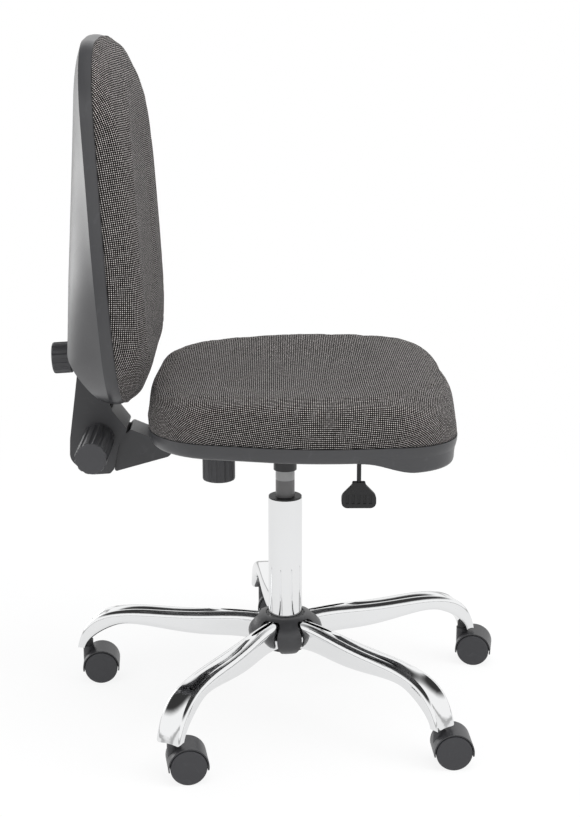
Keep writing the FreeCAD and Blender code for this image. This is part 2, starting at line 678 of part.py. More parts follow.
def piston_rod():
    """Rod that hangs in the column's foot on its bearing and ends in the piston."""
    shoulder = COLUMN_BOTTOM + COLUMN_FLOOR + BEARING_HEIGHT
    highest_foot = CYLINDER_BOTTOM + SEAT_RAISING
    piston_foot = highest_foot + CYLINDER_TOP_WALL
    shaft = rod(ROD_DIAMETER, vec(0, 0, COLUMN_BOTTOM), vec(0, 0, piston_foot))
    collar = rod(ROD_COLLAR, vec(0, 0, shoulder), vec(0, 0, shoulder + ROD_COLLAR_HEIGHT))
    bore = CYLINDER_DIAMETER - 2 * CYLINDER_WALL
    piston = rod(bore - 2 * RUNNING_GAP, vec(0, 0, piston_foot), vec(0, 0, piston_foot + PISTON_HEIGHT))
    return fused(shaft, collar, piston)


def cylinder_taper(start, end):
    radius = CYLINDER_DIAMETER / 2
    return Part.makeCone(radius, TAPER_TOP / 2, end - start, vec(0, 0, start), UP)


def gas_cylinder():
    body = rod(CYLINDER_DIAMETER, vec(0, 0, CYLINDER_BOTTOM), vec(0, 0, TAPER_BOTTOM))
    body = fused(body, cylinder_taper(TAPER_BOTTOM, CYLINDER_TOP))
    bore = CYLINDER_DIAMETER - 2 * CYLINDER_WALL
    gland = CYLINDER_BOTTOM + CYLINDER_TOP_WALL / 2
    chamber = rod(bore, vec(0, 0, gland), vec(0, 0, CYLINDER_TOP - CYLINDER_TOP_WALL))
    rod_hole = rod(ROD_DIAMETER + 2 * RUNNING_GAP, vec(0, 0, CYLINDER_BOTTOM), vec(0, 0, gland))
    pin_foot = CYLINDER_TOP - PIN_SEAT - PIN_TRAVEL_ROOM
    pin_hole = rod(PIN_DIAMETER + 2 * RUNNING_GAP, vec(0, 0, pin_foot), vec(0, 0, CYLINDER_TOP))
    return drilled(body, chamber, rod_hole, pin_hole)


def release_pin():
    return rod(PIN_DIAMETER, vec(0, 0, CYLINDER_TOP - PIN_SEAT), vec(0, 0, CYLINDER_TOP + PIN_STANDOFF))


# Seat plate and what hangs on it

def bolt_places():
    side = PLATE_WIDTH / 2 - BOLT_MARGIN
    front = -PLATE_FRONT + BOLT_MARGIN
    rear = PLATE_REAR - BOLT_MARGIN
    return [vec(x, y) for x in (-side, side) for y in (front, rear)]


def bolt_holes():
    return [rod(BOLT_DIAMETER, at + UP * PLATE_UNDER, at + UP * BOARD_TOP) for at in bolt_places()]


def board_bolts():
    bolts = []
    for at in bolt_places():
        shank = rod(BOLT_DIAMETER, at + UP * PLATE_UNDER, at + UP * BOARD_TOP)
        head = rod(BOLT_HEAD, at + UP * (PLATE_UNDER - BOLT_HEAD_HEIGHT), at + UP * PLATE_UNDER)
        bolts.append(fused(shank, head))
    return Part.makeCompound(bolts)


def toward_lever(distance, height):
    """Point above the line from the column to the lever's paddle."""
    angle = math.radians(LEVER_HEADING)
    return vec(-distance * math.cos(angle), -distance * math.sin(angle), height)


def across_lever(solid):
    """Turns a solid made along -X on to the lever's line."""
    turned_piece = solid.copy()
    turned_piece.rotate(ORIGIN, UP, LEVER_HEADING)
    return turned_piece


def seat_plate():
    """Pressed plate with two side walls, a cross plate and the tapered socket."""
    half = PLATE_WIDTH / 2
    flange = block((-half, half), (-PLATE_FRONT, PLATE_REAR), (PLATE_UNDER, PLATE_TOP))
    front = -(CYLINDER_DIAMETER / 2 + TAPER_WALL + WALLS_AHEAD)
    walls = both_sides(block((WALL_INSIDE, WALL_OUTSIDE), (front, GUIDE_REAR), (GUIDE_BOTTOM, PLATE_UNDER)))
    cross_top = PLATE_UNDER - CROSS_PLATE_DROP
    cross = block((-WALL_INSIDE, WALL_INSIDE), (front, BAR_FRONT - SLIDE_GAP),
                  (cross_top - PLATE_THICKNESS, cross_top))
    socket = rod(CYLINDER_DIAMETER + 2 * TAPER_WALL, vec(0, 0, TAPER_BOTTOM), vec(0, 0, CYLINDER_TOP))
    body = fused(flange, *walls, cross, socket).cut(cylinder_taper(TAPER_BOTTOM, CYLINDER_TOP))
    opening = 2 * LEVER_ROD_DIAMETER
    half_slot = (opening + LEVER_ROD_DIAMETER) / 2
    slot = block((-2 * WALL_OUTSIDE, 0), (-half_slot, half_slot),
                 (LEVER_HEIGHT - opening, LEVER_HEIGHT + opening / 2))
    return drilled(body, across_lever(slot), *bolt_holes())


def bar_guide():
    """Two plates welded between the walls, under and over the sliding bar."""
    across = (-WALL_INSIDE, WALL_INSIDE)
    along = (GUIDE_FRONT, GUIDE_REAR)
    lower = block(across, along, (GUIDE_BOTTOM, BAR_BOTTOM - SLIDE_GAP))
    over = BAR_TOP + SLIDE_GAP
    upper = block(across, along, (over, over + PLATE_THICKNESS))
    clear = KNOB_STUD + 2 * RUNNING_GAP
    hole = rod(clear, vec(0, DEPTH_KNOB_AT, GUIDE_BOTTOM), vec(0, DEPTH_KNOB_AT, BAR_BOTTOM))
    return Part.makeCompound([lower.cut(hole), upper])


def lever_bracket():
    """Stirrup under the plate; the lever rocks on a pin between its ears."""
    ear_inside = LEVER_ROD_DIAMETER / 2 + SWIVEL_GAP
    ear_outside = ear_inside + BRACKET_EAR
    near = -(LEVER_PIVOT - BRACKET_LENGTH / 2)
    far = -(LEVER_PIVOT + BRACKET_LENGTH / 2)
    bottom = LEVER_HEIGHT - BRACKET_LENGTH / 2
    stirrup = block((far, near), (-ear_outside, ear_outside), (bottom, PLATE_UNDER))
    roof = PLATE_UNDER - PLATE_THICKNESS
    stirrup = stirrup.cut(block((far, near), (-ear_inside, ear_inside), (bottom, roof)))
    hole = rod(LEVER_PIVOT_PIN + 2 * RUNNING_GAP, vec(-LEVER_PIVOT, -ear_outside, LEVER_HEIGHT),
               vec(-LEVER_PIVOT, ear_outside, LEVER_HEIGHT))
    return across_lever(stirrup.cut(hole))


def lever_rod():
    """Bent rod: over the release pin, through the bracket, down and out to the paddle."""
    low = LEVER_HEIGHT - LEVER_DIP
    dip_from = LEVER_PIVOT + BRACKET_LENGTH
    dip_to = dip_from + 2 * LEVER_DIP
    bend_from = LEVER_REACH - LEVER_BEND
    start = toward_lever(-PIN_DIAMETER, LEVER_HEIGHT)
    crest = toward_lever(dip_from, LEVER_HEIGHT)
    trough = toward_lever(dip_to, low)
    bend_start = toward_lever(bend_from, low)
    elbow = toward_lever(LEVER_REACH - LEVER_BEND * ROUND_MIDDLE, low - LEVER_BEND * ROUND_MIDDLE)
    bend_end = toward_lever(LEVER_REACH, low - LEVER_BEND)
    path = [
        Part.makeLine(start, crest),
        Part.makeLine(crest, trough),
        Part.makeLine(trough, bend_start),
        Part.Arc(bend_start, elbow, bend_end).toShape(),
        Part.makeLine(bend_end, toward_lever(LEVER_REACH, low - LEVER_HANG)),
    ]
    circle = Part.Wire(Part.makeCircle(LEVER_ROD_DIAMETER / 2, start, toward_lever(1, 0)))
    bent = Part.Wire(path).makePipeShell([circle], True, False, 1)
    ear_outside = LEVER_ROD_DIAMETER / 2 + SWIVEL_GAP + BRACKET_EAR
    pin = rod(LEVER_PIVOT_PIN, vec(-LEVER_PIVOT, -ear_outside, LEVER_HEIGHT),
              vec(-LEVER_PIVOT, ear_outside, LEVER_HEIGHT))
    return fused(bent, across_lever(pin))


def paddle_top():
    return LEVER_HEIGHT - LEVER_DIP - LEVER_HANG + PADDLE_GRIP


def lever_paddle():
    """Fan-shaped grip on the end of the rod, ribbed near its lower edge on both faces."""
    top = paddle_top()
    bottom = top - PADDLE_HEIGHT
    flare = bottom + PADDLE_FLARE_HEIGHT
    neck = top - PADDLE_NECK_HEIGHT
    half_neck = PADDLE_NECK / 2
    half = PADDLE_WIDTH / 2
    right = [(half_neck, top), (half_neck, neck), (half, flare), (half, bottom)]
    corners = [vec(-y, z) for y, z in right] + [vec(y, z) for y, z in reversed(right)]
    radii = PADDLE_RADII + PADDLE_RADII[::-1]
    end = toward_lever(LEVER_REACH, 0)
    left_face = end.x - PADDLE_THICKNESS / 2
    fan = prism(corners, radii, lambda y, z: vec(left_face, end.y + y, z), vec(PADDLE_THICKNESS, 0, 0))
    step = PADDLE_WIDTH / (PADDLE_RIBS + 1)
    groove = (bottom + PADDLE_RIB_MARGIN, flare + 2 * PADDLE_RIB_DEPTH)
    for i in range(PADDLE_RIBS):
        y = end.y - PADDLE_WIDTH / 2 + step * (i + 1)
        for face in (left_face, left_face + PADDLE_THICKNESS):
            depth = (face - PADDLE_RIB_DEPTH, face + PADDLE_RIB_DEPTH)
            fan = fan.cut(block(depth, (y - step / 4, y + step / 4), groove))
    hole = rod(LEVER_ROD_DIAMETER, end + UP * (LEVER_HEIGHT - LEVER_DIP - LEVER_HANG), end + UP * (top + 1))
    return fan.cut(hole)


def depth_knob_point(below):
    """Point on the depth knob's axis, so far below the knob's upper end."""
    return vec(0, DEPTH_KNOB_AT, GUIDE_BOTTOM - KNOB_COLLAR - below)


def depth_knob():
    top = depth_knob_point(0)
    knob = fluted_knob(DEPTH_KNOB_DIAMETER, DEPTH_KNOB_HEIGHT, top, vec(0, 0, -1))
    return knob.cut(rod(KNOB_STUD, depth_knob_point(DEPTH_KNOB_HEIGHT / 2), top))


def depth_stud():
    top = vec(0, DEPTH_KNOB_AT, BAR_BOTTOM - SLIDE_GAP)
    return rod(KNOB_STUD, depth_knob_point(DEPTH_KNOB_HEIGHT / 2), top)


# Seat

def seat_corners():
    """Front middle, then anticlockwise round the outline seen from above."""
    half_front = SEAT_FRONT_WIDTH / 2
    half = SEAT_WIDTH / 2
    half_rear = SEAT_REAR_WIDTH / 2
    right = [vec(half_front, -SEAT_FRONT_CORNER), vec(half, SEAT_WIDEST_AT)]
    right.append(vec(half_rear, SEAT_REAR_CORNER))
    left = [vec(-corner.x, corner.y) for corner in reversed(right)]
    return [vec(0, -SEAT_FRONT)] + right + [vec(0, SEAT_REAR)] + left


def seat_radii():
    right = [SEAT_FRONT_RADIUS, SEAT_SIDE_RADIUS, SEAT_REAR_RADIUS]
    return [SEAT_END_RADIUS] + right + [SEAT_END_RADIUS] + right[::-1]


def seat_section(height, side, front=None, rear=None):
    """Outline of the seat at a height, drawn in by its own amount at the sides, front and rear."""
    front = side if front is None else front
    rear = side if rear is None else rear
    offsets = [front, side, side, rear, rear, side, side, front]
    corners = inset(seat_corners(), offsets)
    return outline(corners, shrunk(seat_radii(), side), lambda x, y: vec(x, y, height))


def seat_layer(low, high, inset_by):
    """Flat layer with the seat's outline."""
    return Part.Face(seat_section(low, inset_by)).extrude(vec(0, 0, high - low))


def seat_cushion():
    """Loft from the tucked-in foot over the full side to the shoulder, dished between the sides."""
    sections = []
    for share, side, front, rear in SEAT_SWELL:
        sections.append(seat_section(BOARD_TOP + share * SEAT_THICKNESS, side, front, rear))
    cushion = Part.makeLoft(sections, True)
    radius = (SEAT_DISH_WIDTH ** 2 / 4 + SEAT_DISH ** 2) / (2 * SEAT_DISH)
    axis = CUSHION_TOP - SEAT_DISH + radius
    return cushion.cut(rod(2 * radius, vec(0, -2 * SEAT_FRONT, axis), vec(0, 2 * SEAT_REAR, axis)))


def seat_board():
    board = seat_layer(PAN_FLOOR_TOP, BOARD_TOP, BOARD_INSET)
    return drilled(board, *bolt_holes(), *[screw[0] for screw in pan_screw_solids()])


def pan_body():
    """Skirt of the pan from its top edge down, turned under along its foot."""
    return Part.makeLoft([seat_section(PAN_TOP - drop * PAN_HEIGHT, PAN_INSET + tuck * PAN_TUCK)
                          for drop, tuck in PAN_CURVE], True)


def pan_front_lip():
    """Deeper skirt along the front: it grows out of the plain skirt and ends in a slope on each side."""
    low = PAN_BOTTOM - PAN_FRONT_DROP
    tall = PAN_LIP_START * PAN_HEIGHT + PAN_FRONT_DROP
    skirt = Part.makeLoft([seat_section(low + rise * tall, PAN_INSET + tuck * PAN_TUCK)
                           for rise, tuck in PAN_LIP_CURVE], True)
    ahead = -2 * SEAT_FRONT
    middle = -(PAN_DROP_FROM + PAN_DROP_TO) / 2
    slope = [(-PAN_DROP_FROM, PAN_BOTTOM + OVERCUT)]
    slope += [(middle, PAN_BOTTOM - PAN_FRONT_DROP / 2), (-PAN_DROP_TO, low)]
    curve = Part.BSplineCurve()
    curve.interpolate([vec(-SEAT_WIDTH, y, z) for y, z in slope],
                      InitialTangent=vec(0, -1, 0), FinalTangent=vec(0, -1, 0))
    frame = [(-PAN_DROP_TO, low), (-PAN_DROP_TO, low - OVERCUT), (ahead, low - OVERCUT), (ahead, PAN_TOP)]
    frame += [(-PAN_DROP_FROM, PAN_TOP), (-PAN_DROP_FROM, PAN_BOTTOM + OVERCUT)]
    border = Part.makePolygon([vec(-SEAT_WIDTH, y, z) for y, z in frame])
    wedge = Part.Face(Part.Wire([curve.toShape(), *border.Edges]))
    return skirt.common(wedge.extrude(vec(2 * SEAT_WIDTH, 0, 0)))


def pan_screw_solids():
    screws = []
    for out, y in zip(PAN_SCREW_SHARES, PAN_SCREWS_BEHIND):
        for side in (-1, 1):
            at = vec(side * out * SEAT_WIDTH / 2, y)
            shank = rod(PAN_SCREW, at + UP * PLATE_TOP, at + UP * (PAN_FLOOR_TOP + PAN_SCREW_LENGTH))
            head = rod(PAN_SCREW_HEAD, at + UP * (PLATE_TOP - PAN_SCREW / 2), at + UP * PLATE_TOP)
            screws.append((shank, head))
    return screws


def pan_screws():
    return Part.makeCompound([fused(shank, head) for shank, head in pan_screw_solids()])


def seat_pan():
    """Moulded tray: deeper along the front, hollow rim, a floor that carries the board."""
    body = fused(pan_body(), pan_front_lip())
    pocket = seat_layer(PAN_FLOOR_TOP, PAN_TOP + OVERCUT, PAN_INSET + 0.12 * PAN_TUCK + PAN_WALL)
    gutter = seat_layer(PAN_BOTTOM + PAN_WALL, PAN_FLOOR_TOP, PAN_INSET + 0.9 * PAN_TUCK)
    gutter = gutter.cut(seat_layer(PAN_BOTTOM, PAN_FLOOR_TOP + OVERCUT, PAN_LIP_WIDTH - PAN_WALL))
    recess = seat_layer(PAN_BOTTOM - PAN_FRONT_DROP - OVERCUT, PLATE_TOP, PAN_LIP_WIDTH)
    screw_holes = [screw[0] for screw in pan_screw_solids()]
    return drilled(body, pocket, gutter, recess, *bolt_holes(), *screw_holes)


# Back arm: a flat bar that slides in the guide and carries the tilt pivot in two ears

def stud_hole(half):
    clear = KNOB_STUD + 2 * RUNNING_GAP
    return rod(clear, PIVOT - SIDEWAYS * half, PIVOT + SIDEWAYS * half)


def arm_bar():
    half = BAR_WIDTH / 2
    bar = block((-half, half), (BAR_FRONT, PIVOT_BEHIND - EAR_RADIUS), (BAR_BOTTOM, BAR_TOP))
    ears = []
    for side in (-1, 1):
        inner = side * (half - EAR_THICKNESS)
        outer = side * half
        foot = block((min(inner, outer), max(inner, outer)), (PIVOT_BEHIND - EAR_LENGTH, PIVOT_BEHIND),
                     (BAR_BOTTOM, PIVOT_HEIGHT))
        disc = rod(2 * EAR_RADIUS, vec(inner, PIVOT.y, PIVOT.z), vec(outer, PIVOT.y, PIVOT.z))
        ears.append(foot.fuse(disc))
    room_front = PIVOT_BEHIND - EYE_DIAMETER / 2 - EYE_ROOM
    upright_room = block((-half + EAR_THICKNESS, half - EAR_THICKNESS),
                         (room_front, PIVOT_BEHIND + EAR_RADIUS), (BAR_BOTTOM, BAR_TOP))
    return drilled(fused(bar, *ears), upright_room, stud_hole(half))


def arm_shroud_points(wall):
    corners = [vec(PIVOT_BEHIND + y, PIVOT_HEIGHT + z) for y, z in ARM_SHROUD_VIEW]
    return inset(corners, [wall] * len(corners))


def arm_shroud():
    """Wedge-shaped moulding round the bar, open at both ends."""
    half = ARM_SHROUD_WIDTH / 2
    wall = ARM_SHROUD_WALL
    outer = prism(arm_shroud_points(0.0), ARM_SHROUD_RADII, side_view(-half), vec(2 * half, 0, 0))
    inner = prism(arm_shroud_points(wall), shrunk(ARM_SHROUD_RADII, wall), side_view(-half + wall),
                  vec(2 * (half - wall), 0, 0))
    bar_half = BAR_WIDTH / 2 + SWIVEL_GAP
    across = (-bar_half, bar_half)
    low = BAR_BOTTOM - SWIVEL_GAP
    bar_way = block(across, (0, PIVOT_BEHIND), (low, BAR_TOP + SWIVEL_GAP))
    ear_front = PIVOT_BEHIND - EAR_LENGTH - SWIVEL_GAP
    ear_way = block(across, (ear_front, PIVOT_BEHIND), (low, PIVOT_HEIGHT + SWIVEL_GAP))
    return drilled(outer, inner, bar_way, ear_way)


# Upright and backrest, made upright over the pivot and then leaned back about it

def leaned(solid):
    turned_piece = solid.copy()
    turned_piece.rotate(PIVOT, SIDEWAYS, -BACK_LEAN)
    return turned_piece


def from_pivot(x, behind, above):
    return vec(x, PIVOT_BEHIND + behind, PIVOT_HEIGHT + above)


def pivot_block(x, behind, above):
    return block(x, (PIVOT_BEHIND + behind[0], PIVOT_BEHIND + behind[1]),
                 (PIVOT_HEIGHT + above[0], PIVOT_HEIGHT + above[1]))


def upright_bar():
    half = UPRIGHT_WIDTH / 2
    thick = UPRIGHT_THICKNESS / 2
    eye_half = BAR_WIDTH / 2 - EAR_THICKNESS - EYE_GAP
    eye = rod(EYE_DIAMETER, PIVOT - SIDEWAYS * eye_half, PIVOT + SIDEWAYS * eye_half)
    bar = pivot_block((-half, half), (-thick, thick), (0, UPRIGHT_LENGTH))
    return leaned(fused(eye, bar).cut(stud_hole(BAR_WIDTH)))


def upright_shroud():
    """Moulding round the pivot: two cheeks, a rear wall, a short front; the arm enters between the cheeks."""
    half = UPRIGHT_SHROUD_WIDTH / 2
    wall = UPRIGHT_SHROUD_WALL
    flat = [vec(PIVOT_BEHIND + y, PIVOT_HEIGHT + z) for y, z in SHROUD_VIEW]
    outer = prism(flat, SHROUD_RADII, side_view(-half), vec(2 * half, 0, 0))
    inner = prism(inset(flat, [wall] * len(flat)), shrunk(SHROUD_RADII, wall), side_view(-half + wall),
                  vec(2 * (half - wall), 0, 0))
    gap = (-half + wall, half - wall)
    ahead = min(y for y, z in SHROUD_VIEW) - wall
    behind = max(y for y, z in SHROUD_VIEW) + wall
    below = min(z for y, z in SHROUD_VIEW) - wall
    above = max(z for y, z in SHROUD_VIEW) + wall
    rear_inside = SHROUD_VIEW[0][0] - wall
    ways = [
        pivot_block(gap, (ahead, -EYE_DIAMETER / 3), (below, SHROUD_MOUTH)),
        pivot_block(gap, (ahead, EYE_DIAMETER / 6), (below, -EAR_RADIUS)),
        pivot_block(gap, (ahead, 0), (SHROUD_NECK, above)),
        pivot_block(gap, (ahead, rear_inside), (HEIGHT_KNOB_AT - 1.4 * KNOB_STUD, above)),
    ]
    stud_way = (-1.5 * KNOB_STUD, 1.5 * KNOB_STUD)
    ways.append(pivot_block(stud_way, (0, behind), (HEIGHT_KNOB_AT - 1.6 * KNOB_STUD, above)))
    return leaned(drilled(outer, inner, *ways, stud_hole(half + 1)))


def tilt_knob():
    near = UPRIGHT_SHROUD_WIDTH / 2 + TILT_KNOB_GAP
    foot = PIVOT - SIDEWAYS * near
    knob = fluted_knob(TILT_KNOB_DIAMETER, TILT_KNOB_LENGTH, foot, vec(-1, 0, 0))
    return knob.cut(rod(KNOB_STUD, foot, foot - SIDEWAYS * (TILT_KNOB_LENGTH / 2)))


def tilt_stud():
    near = UPRIGHT_SHROUD_WIDTH / 2 + TILT_KNOB_GAP
    far = UPRIGHT_SHROUD_WIDTH / 2 + SWIVEL_GAP
    shaft = rod(KNOB_STUD, PIVOT - SIDEWAYS * (near + TILT_KNOB_LENGTH / 2), PIVOT + SIDEWAYS * far)
    head = rod(TILT_HEAD, PIVOT + SIDEWAYS * far, PIVOT + SIDEWAYS * (far + TILT_HEAD_HEIGHT))
    return fused(shaft, head)


def back_corners():
    """Bottom middle, then anticlockwise round the outline seen from the front, from the pivot's height."""
    right = [vec(BACK_BOTTOM_WIDTH / 2, BACK_BOTTOM_CORNER), vec(BACK_WIDTH / 2, BACK_WIDEST_AT)]
    right.append(vec(BACK_TOP_WIDTH / 2, BACK_TOP_CORNER))
    left = [vec(-corner.x, corner.y) for corner in reversed(right)]
    return [vec(0, BACK_BOTTOM)] + right + [vec(0, BACK_TOP)] + left


def back_radii():
    right = [BACK_BOTTOM_RADIUS, BACK_SIDE_RADIUS, BACK_TOP_RADIUS]
    return [BACK_END_RADIUS] + right + [BACK_END_RADIUS] + right[::-1]


def back_section(behind, side, bottom=None, top=None):
    """Outline of the back on a plane behind the pivot, drawn in at its sides, bottom and top."""
    bottom = side if bottom is None else bottom
    top = side if top is None else top
    offsets = [bottom, side, side, top, top, side, side, bottom]
    corners = inset(back_corners(), offsets)
    return outline(corners, shrunk(back_radii(), side), lambda x, z: from_pivot(x, behind, z))


def back_layer(start, end, inset_by):
    return Part.Face(back_section(start, inset_by)).extrude(vec(0, end - start, 0))


def back_cushion():
    """Loft from the seam over the full side to the shoulder, dished between the sides."""
    seam = -BACK_SEAM_AHEAD
    sections = []
    for share, side, bottom, top in BACK_SWELL:
        sections.append(back_section(seam - share * BACK_THICKNESS, side, bottom, top))
    cushion = Part.makeLoft(sections, True)
    radius = (BACK_DISH_WIDTH ** 2 / 4 + BACK_DISH ** 2) / (2 * BACK_DISH)
    axis = seam - BACK_THICKNESS + BACK_DISH - radius
    hollow = rod(2 * radius, from_pivot(0, axis, -BACK_TOP), from_pivot(0, axis, 2 * BACK_TOP))
    return leaned(cushion.cut(hollow))


def board_back_face():
    return -BACK_SEAM_AHEAD + BACK_BOARD_THICKNESS


def back_screw_places():
    side = BRACKET_PLATE_WIDTH / 2 - SCREW_HEAD
    low = BRACKET_BOTTOM + SCREW_HEAD
    high = BRACKET_TOP - SCREW_HEAD
    return [(x, z) for x in (-side, side) for z in (low, high)]


def back_screw_shanks():
    start = board_back_face() - SCREW_BITE
    end = board_back_face() + BRACKET_PLATE
    places = back_screw_places()
    return [rod(SCREW_DIAMETER, from_pivot(x, start, z), from_pivot(x, end, z)) for x, z in places]


def back_screws():
    seat = board_back_face() + BRACKET_PLATE
    screws = []
    for shank, (x, z) in zip(back_screw_shanks(), back_screw_places()):
        head = rod(SCREW_HEAD, from_pivot(x, seat, z), from_pivot(x, seat + SCREW_HEAD_HEIGHT, z))
        screws.append(leaned(fused(shank, head)))
    return Part.makeCompound(screws)


def back_board():
    board = back_layer(-BACK_SEAM_AHEAD, board_back_face(), BACK_BOARD_INSET)
    return leaned(drilled(board, *back_screw_shanks()))


def bulge_section(share, inward):
    """Outline of the rear bulge between the rim (0) and the flat rear panel (1), pulled in by a wall."""
    rim = inset(back_corners(), [RIM_INSET] * 8)
    low = BULGE_BOTTOM - BULGE_BELOW_SLANT
    wide = BULGE_HALF_WIDTH
    slim = BULGE_TOP_HALF_WIDTH
    panel = [vec(0, low), vec(wide, low + BULGE_ARCH), vec(wide + BULGE_ARCH, BACK_WIDEST_AT)]
    panel += [vec(slim, BULGE_TOP - BULGE_ARCH), vec(0, BULGE_TOP)]
    panel += [vec(-corner.x, corner.y) for corner in reversed(panel[1:4])]
    corners = [outer + (inner - outer) * share for outer, inner in zip(rim, panel)]
    corners = inset(corners, [inward] * 8)
    radii = [near + (BULGE_RADIUS - near) * share for near in back_radii()]
    slope = (BULGE_TOP_BEHIND - BULGE_BOTTOM_BEHIND) / (BULGE_TOP - BULGE_BOTTOM)
    swell = math.sin(math.pi / 2 * share)
    rim_behind = -BACK_SEAM_AHEAD + RIM_DEPTH

    def place(x, z):
        panel_behind = BULGE_BOTTOM_BEHIND + slope * (z - BULGE_BOTTOM)
        return from_pivot(x, rim_behind + (panel_behind - rim_behind) * swell - inward, z)

    return outline(corners, shrunk(radii, inward), place)


def bulge(inward):
    return Part.makeLoft([bulge_section(share, inward) for share in BULGE_SHARES], True)


def below_slant(inward):
    """Everything below the sloping foot of the bulge."""
    run = BULGE_BOTTOM_BEHIND + SLANT_FOOT_AHEAD
    rise = BULGE_BOTTOM - SLANT_FOOT
    lift = inward * math.hypot(run, rise) / run
    far = BACK_WIDTH / 2
    foot = (-SLANT_FOOT_AHEAD, SLANT_FOOT + lift)
    end = (foot[0] + far, foot[1] + far * rise / run)
    points = [foot, end, (end[0], -far), (foot[0], -far)]
    corners = [from_pivot(-BACK_WIDTH, y, z) for y, z in points]
    return Part.Face(Part.makePolygon(corners + corners[:1])).extrude(vec(2 * BACK_WIDTH, 0, 0))


def back_cover():
    """Moulded rear shell: a rim round the board, a bulge with a sloping foot, a slot for the upright."""
    rim_rear = -BACK_SEAM_AHEAD + RIM_DEPTH
    front = -BACK_SEAM_AHEAD + SEAM_GAP
    rim = Part.makeLoft([
        back_section(front, RIM_INSET + 2.0),
        back_section(front + RIM_DEPTH * 0.3, RIM_INSET),
        bulge_section(0.0, 0.0),
    ], True)
    body = fused(rim, bulge(0.0)).cut(below_slant(0.0))
    hollow = back_layer(front - 1, rim_rear, BACK_BOARD_INSET - 0.5)
    hollow = hollow.fuse(bulge(REAR_WALL)).cut(below_slant(REAR_WALL))
    half = UPRIGHT_SHROUD_WIDTH / 2 + COVER_SLOT_GAP
    slot_front = board_back_face() + COVER_SLOT_BEHIND_BOARD
    slot = pivot_block((-half, half), (slot_front, 2 * HEIGHT_KNOB_BEHIND), (0, COVER_SLOT_TOP))
    return leaned(drilled(body, hollow, slot))


def back_bracket():
    """Plate on the back board with a sleeve on the upright; its thick rear wall takes the stud."""
    half = BRACKET_PLATE_WIDTH / 2
    front = board_back_face()
    plate_solid = pivot_block((-half, half), (front, front + BRACKET_PLATE), (BRACKET_BOTTOM, BRACKET_TOP))
    inside = UPRIGHT_WIDTH / 2 + SLIDE_GAP
    outside = inside + SLEEVE_WALL
    face = UPRIGHT_THICKNESS / 2 + SLIDE_GAP
    rear = face + SLEEVE_REAR_WALL
    sleeve = pivot_block((-outside, outside), (front + BRACKET_PLATE, rear), (BRACKET_BOTTOM, SLEEVE_TOP))
    way = pivot_block((-inside, inside), (-face, face), (BRACKET_BOTTOM, SLEEVE_TOP))
    lighten = pivot_block((-inside, inside), (front + BRACKET_PLATE, -face - SLEEVE_WALL),
                          (BRACKET_BOTTOM, SLEEVE_TOP))
    clear = KNOB_STUD + 2 * RUNNING_GAP
    hole = rod(clear, from_pivot(0, 0, HEIGHT_KNOB_AT), from_pivot(0, 2 * rear, HEIGHT_KNOB_AT))
    return leaned(drilled(fused(plate_solid, sleeve), way, lighten, hole, *back_screw_shanks()))


def height_knob():
    foot = from_pivot(0, HEIGHT_KNOB_BEHIND, HEIGHT_KNOB_AT)
    knob = fluted_knob(HEIGHT_KNOB_DIAMETER, HEIGHT_KNOB_THICKNESS, foot, REARWARD)
    neck_from = UPRIGHT_THICKNESS / 2 + SLIDE_GAP + SLEEVE_REAR_WALL + SWIVEL_GAP
    neck = rod(2 * KNOB_STUD, from_pivot(0, neck_from, HEIGHT_KNOB_AT), foot)
    bore = rod(KNOB_STUD, from_pivot(0, 0, HEIGHT_KNOB_AT), foot + REARWARD * (HEIGHT_KNOB_THICKNESS / 2))
    return leaned(fused(knob, neck).cut(bore))


def height_stud():
    start = UPRIGHT_THICKNESS / 2 + SLIDE_GAP
    end = HEIGHT_KNOB_BEHIND + HEIGHT_KNOB_THICKNESS / 2
    return leaned(rod(KNOB_STUD, from_pivot(0, start, HEIGHT_KNOB_AT), from_pivot(0, end, HEIGHT_KNOB_AT)))


def pieces():
    made = {
        "hub_core": hub_core(), "hub_cover": hub_cover(), "column_ring": column_ring(),
        "column_tube": column_tube(), "column_bush": column_bush(), "thrust_bearing": thrust_bearing(),
        "piston_rod": piston_rod(), "gas_cylinder": gas_cylinder(), "release_pin": release_pin(),
        "seat_plate": seat_plate(), "bar_guide": bar_guide(), "lever_bracket": lever_bracket(),
        "lever_rod": lever_rod(), "lever_paddle": lever_paddle(),
        "depth_knob": depth_knob(), "depth_stud": depth_stud(),
        "seat_pan": seat_pan(), "seat_board": seat_board(), "seat_cushion": seat_cushion(),
        "board_bolts": board_bolts(), "pan_screws": pan_screws(),
        "arm_bar": arm_bar(), "arm_shroud": arm_shroud(),
        "upright_bar": upright_bar(), "upright_shroud": upright_shroud(),
        "tilt_knob": tilt_knob(), "tilt_stud": tilt_stud(),
        "back_bracket": back_bracket(), "back_board": back_board(), "back_cushion": back_cushion(),
        "back_cover": back_cover(), "back_screws": back_screws(),
        "height_knob": height_knob(), "height_stud": height_stud(),
    }
    arm = base_arm()
    made["caster_sockets"] = Part.makeCompound([around(caster_socket(), k) for k in range(ARM_COUNT)])
    hood = caster_hood()
    pins = caster_pins()
    near = caster_wheel(-1)
    far = caster_wheel(1)
    for k in range(ARM_COUNT):
        made[f"base_arm_{k + 1}"] = around(arm, k)
        made[f"caster_{k + 1}_hood"] = placed_caster(hood, k)
        made[f"caster_{k + 1}_pins"] = placed_caster(pins, k)
        made[f"caster_{k + 1}_wheel_a"] = placed_caster(near, k)
        made[f"caster_{k + 1}_wheel_b"] = placed_caster(far, k)
    return made


def main():
    os.makedirs("parts", exist_ok=True)
    for name, shape in pieces().items():
        print(f"{name}: {len(shape.Solids)} solid(s), {shape.Volume:.0f} mm3, valid {shape.isValid()}")
        shape.exportStep(f"parts/{name}.step")


main()
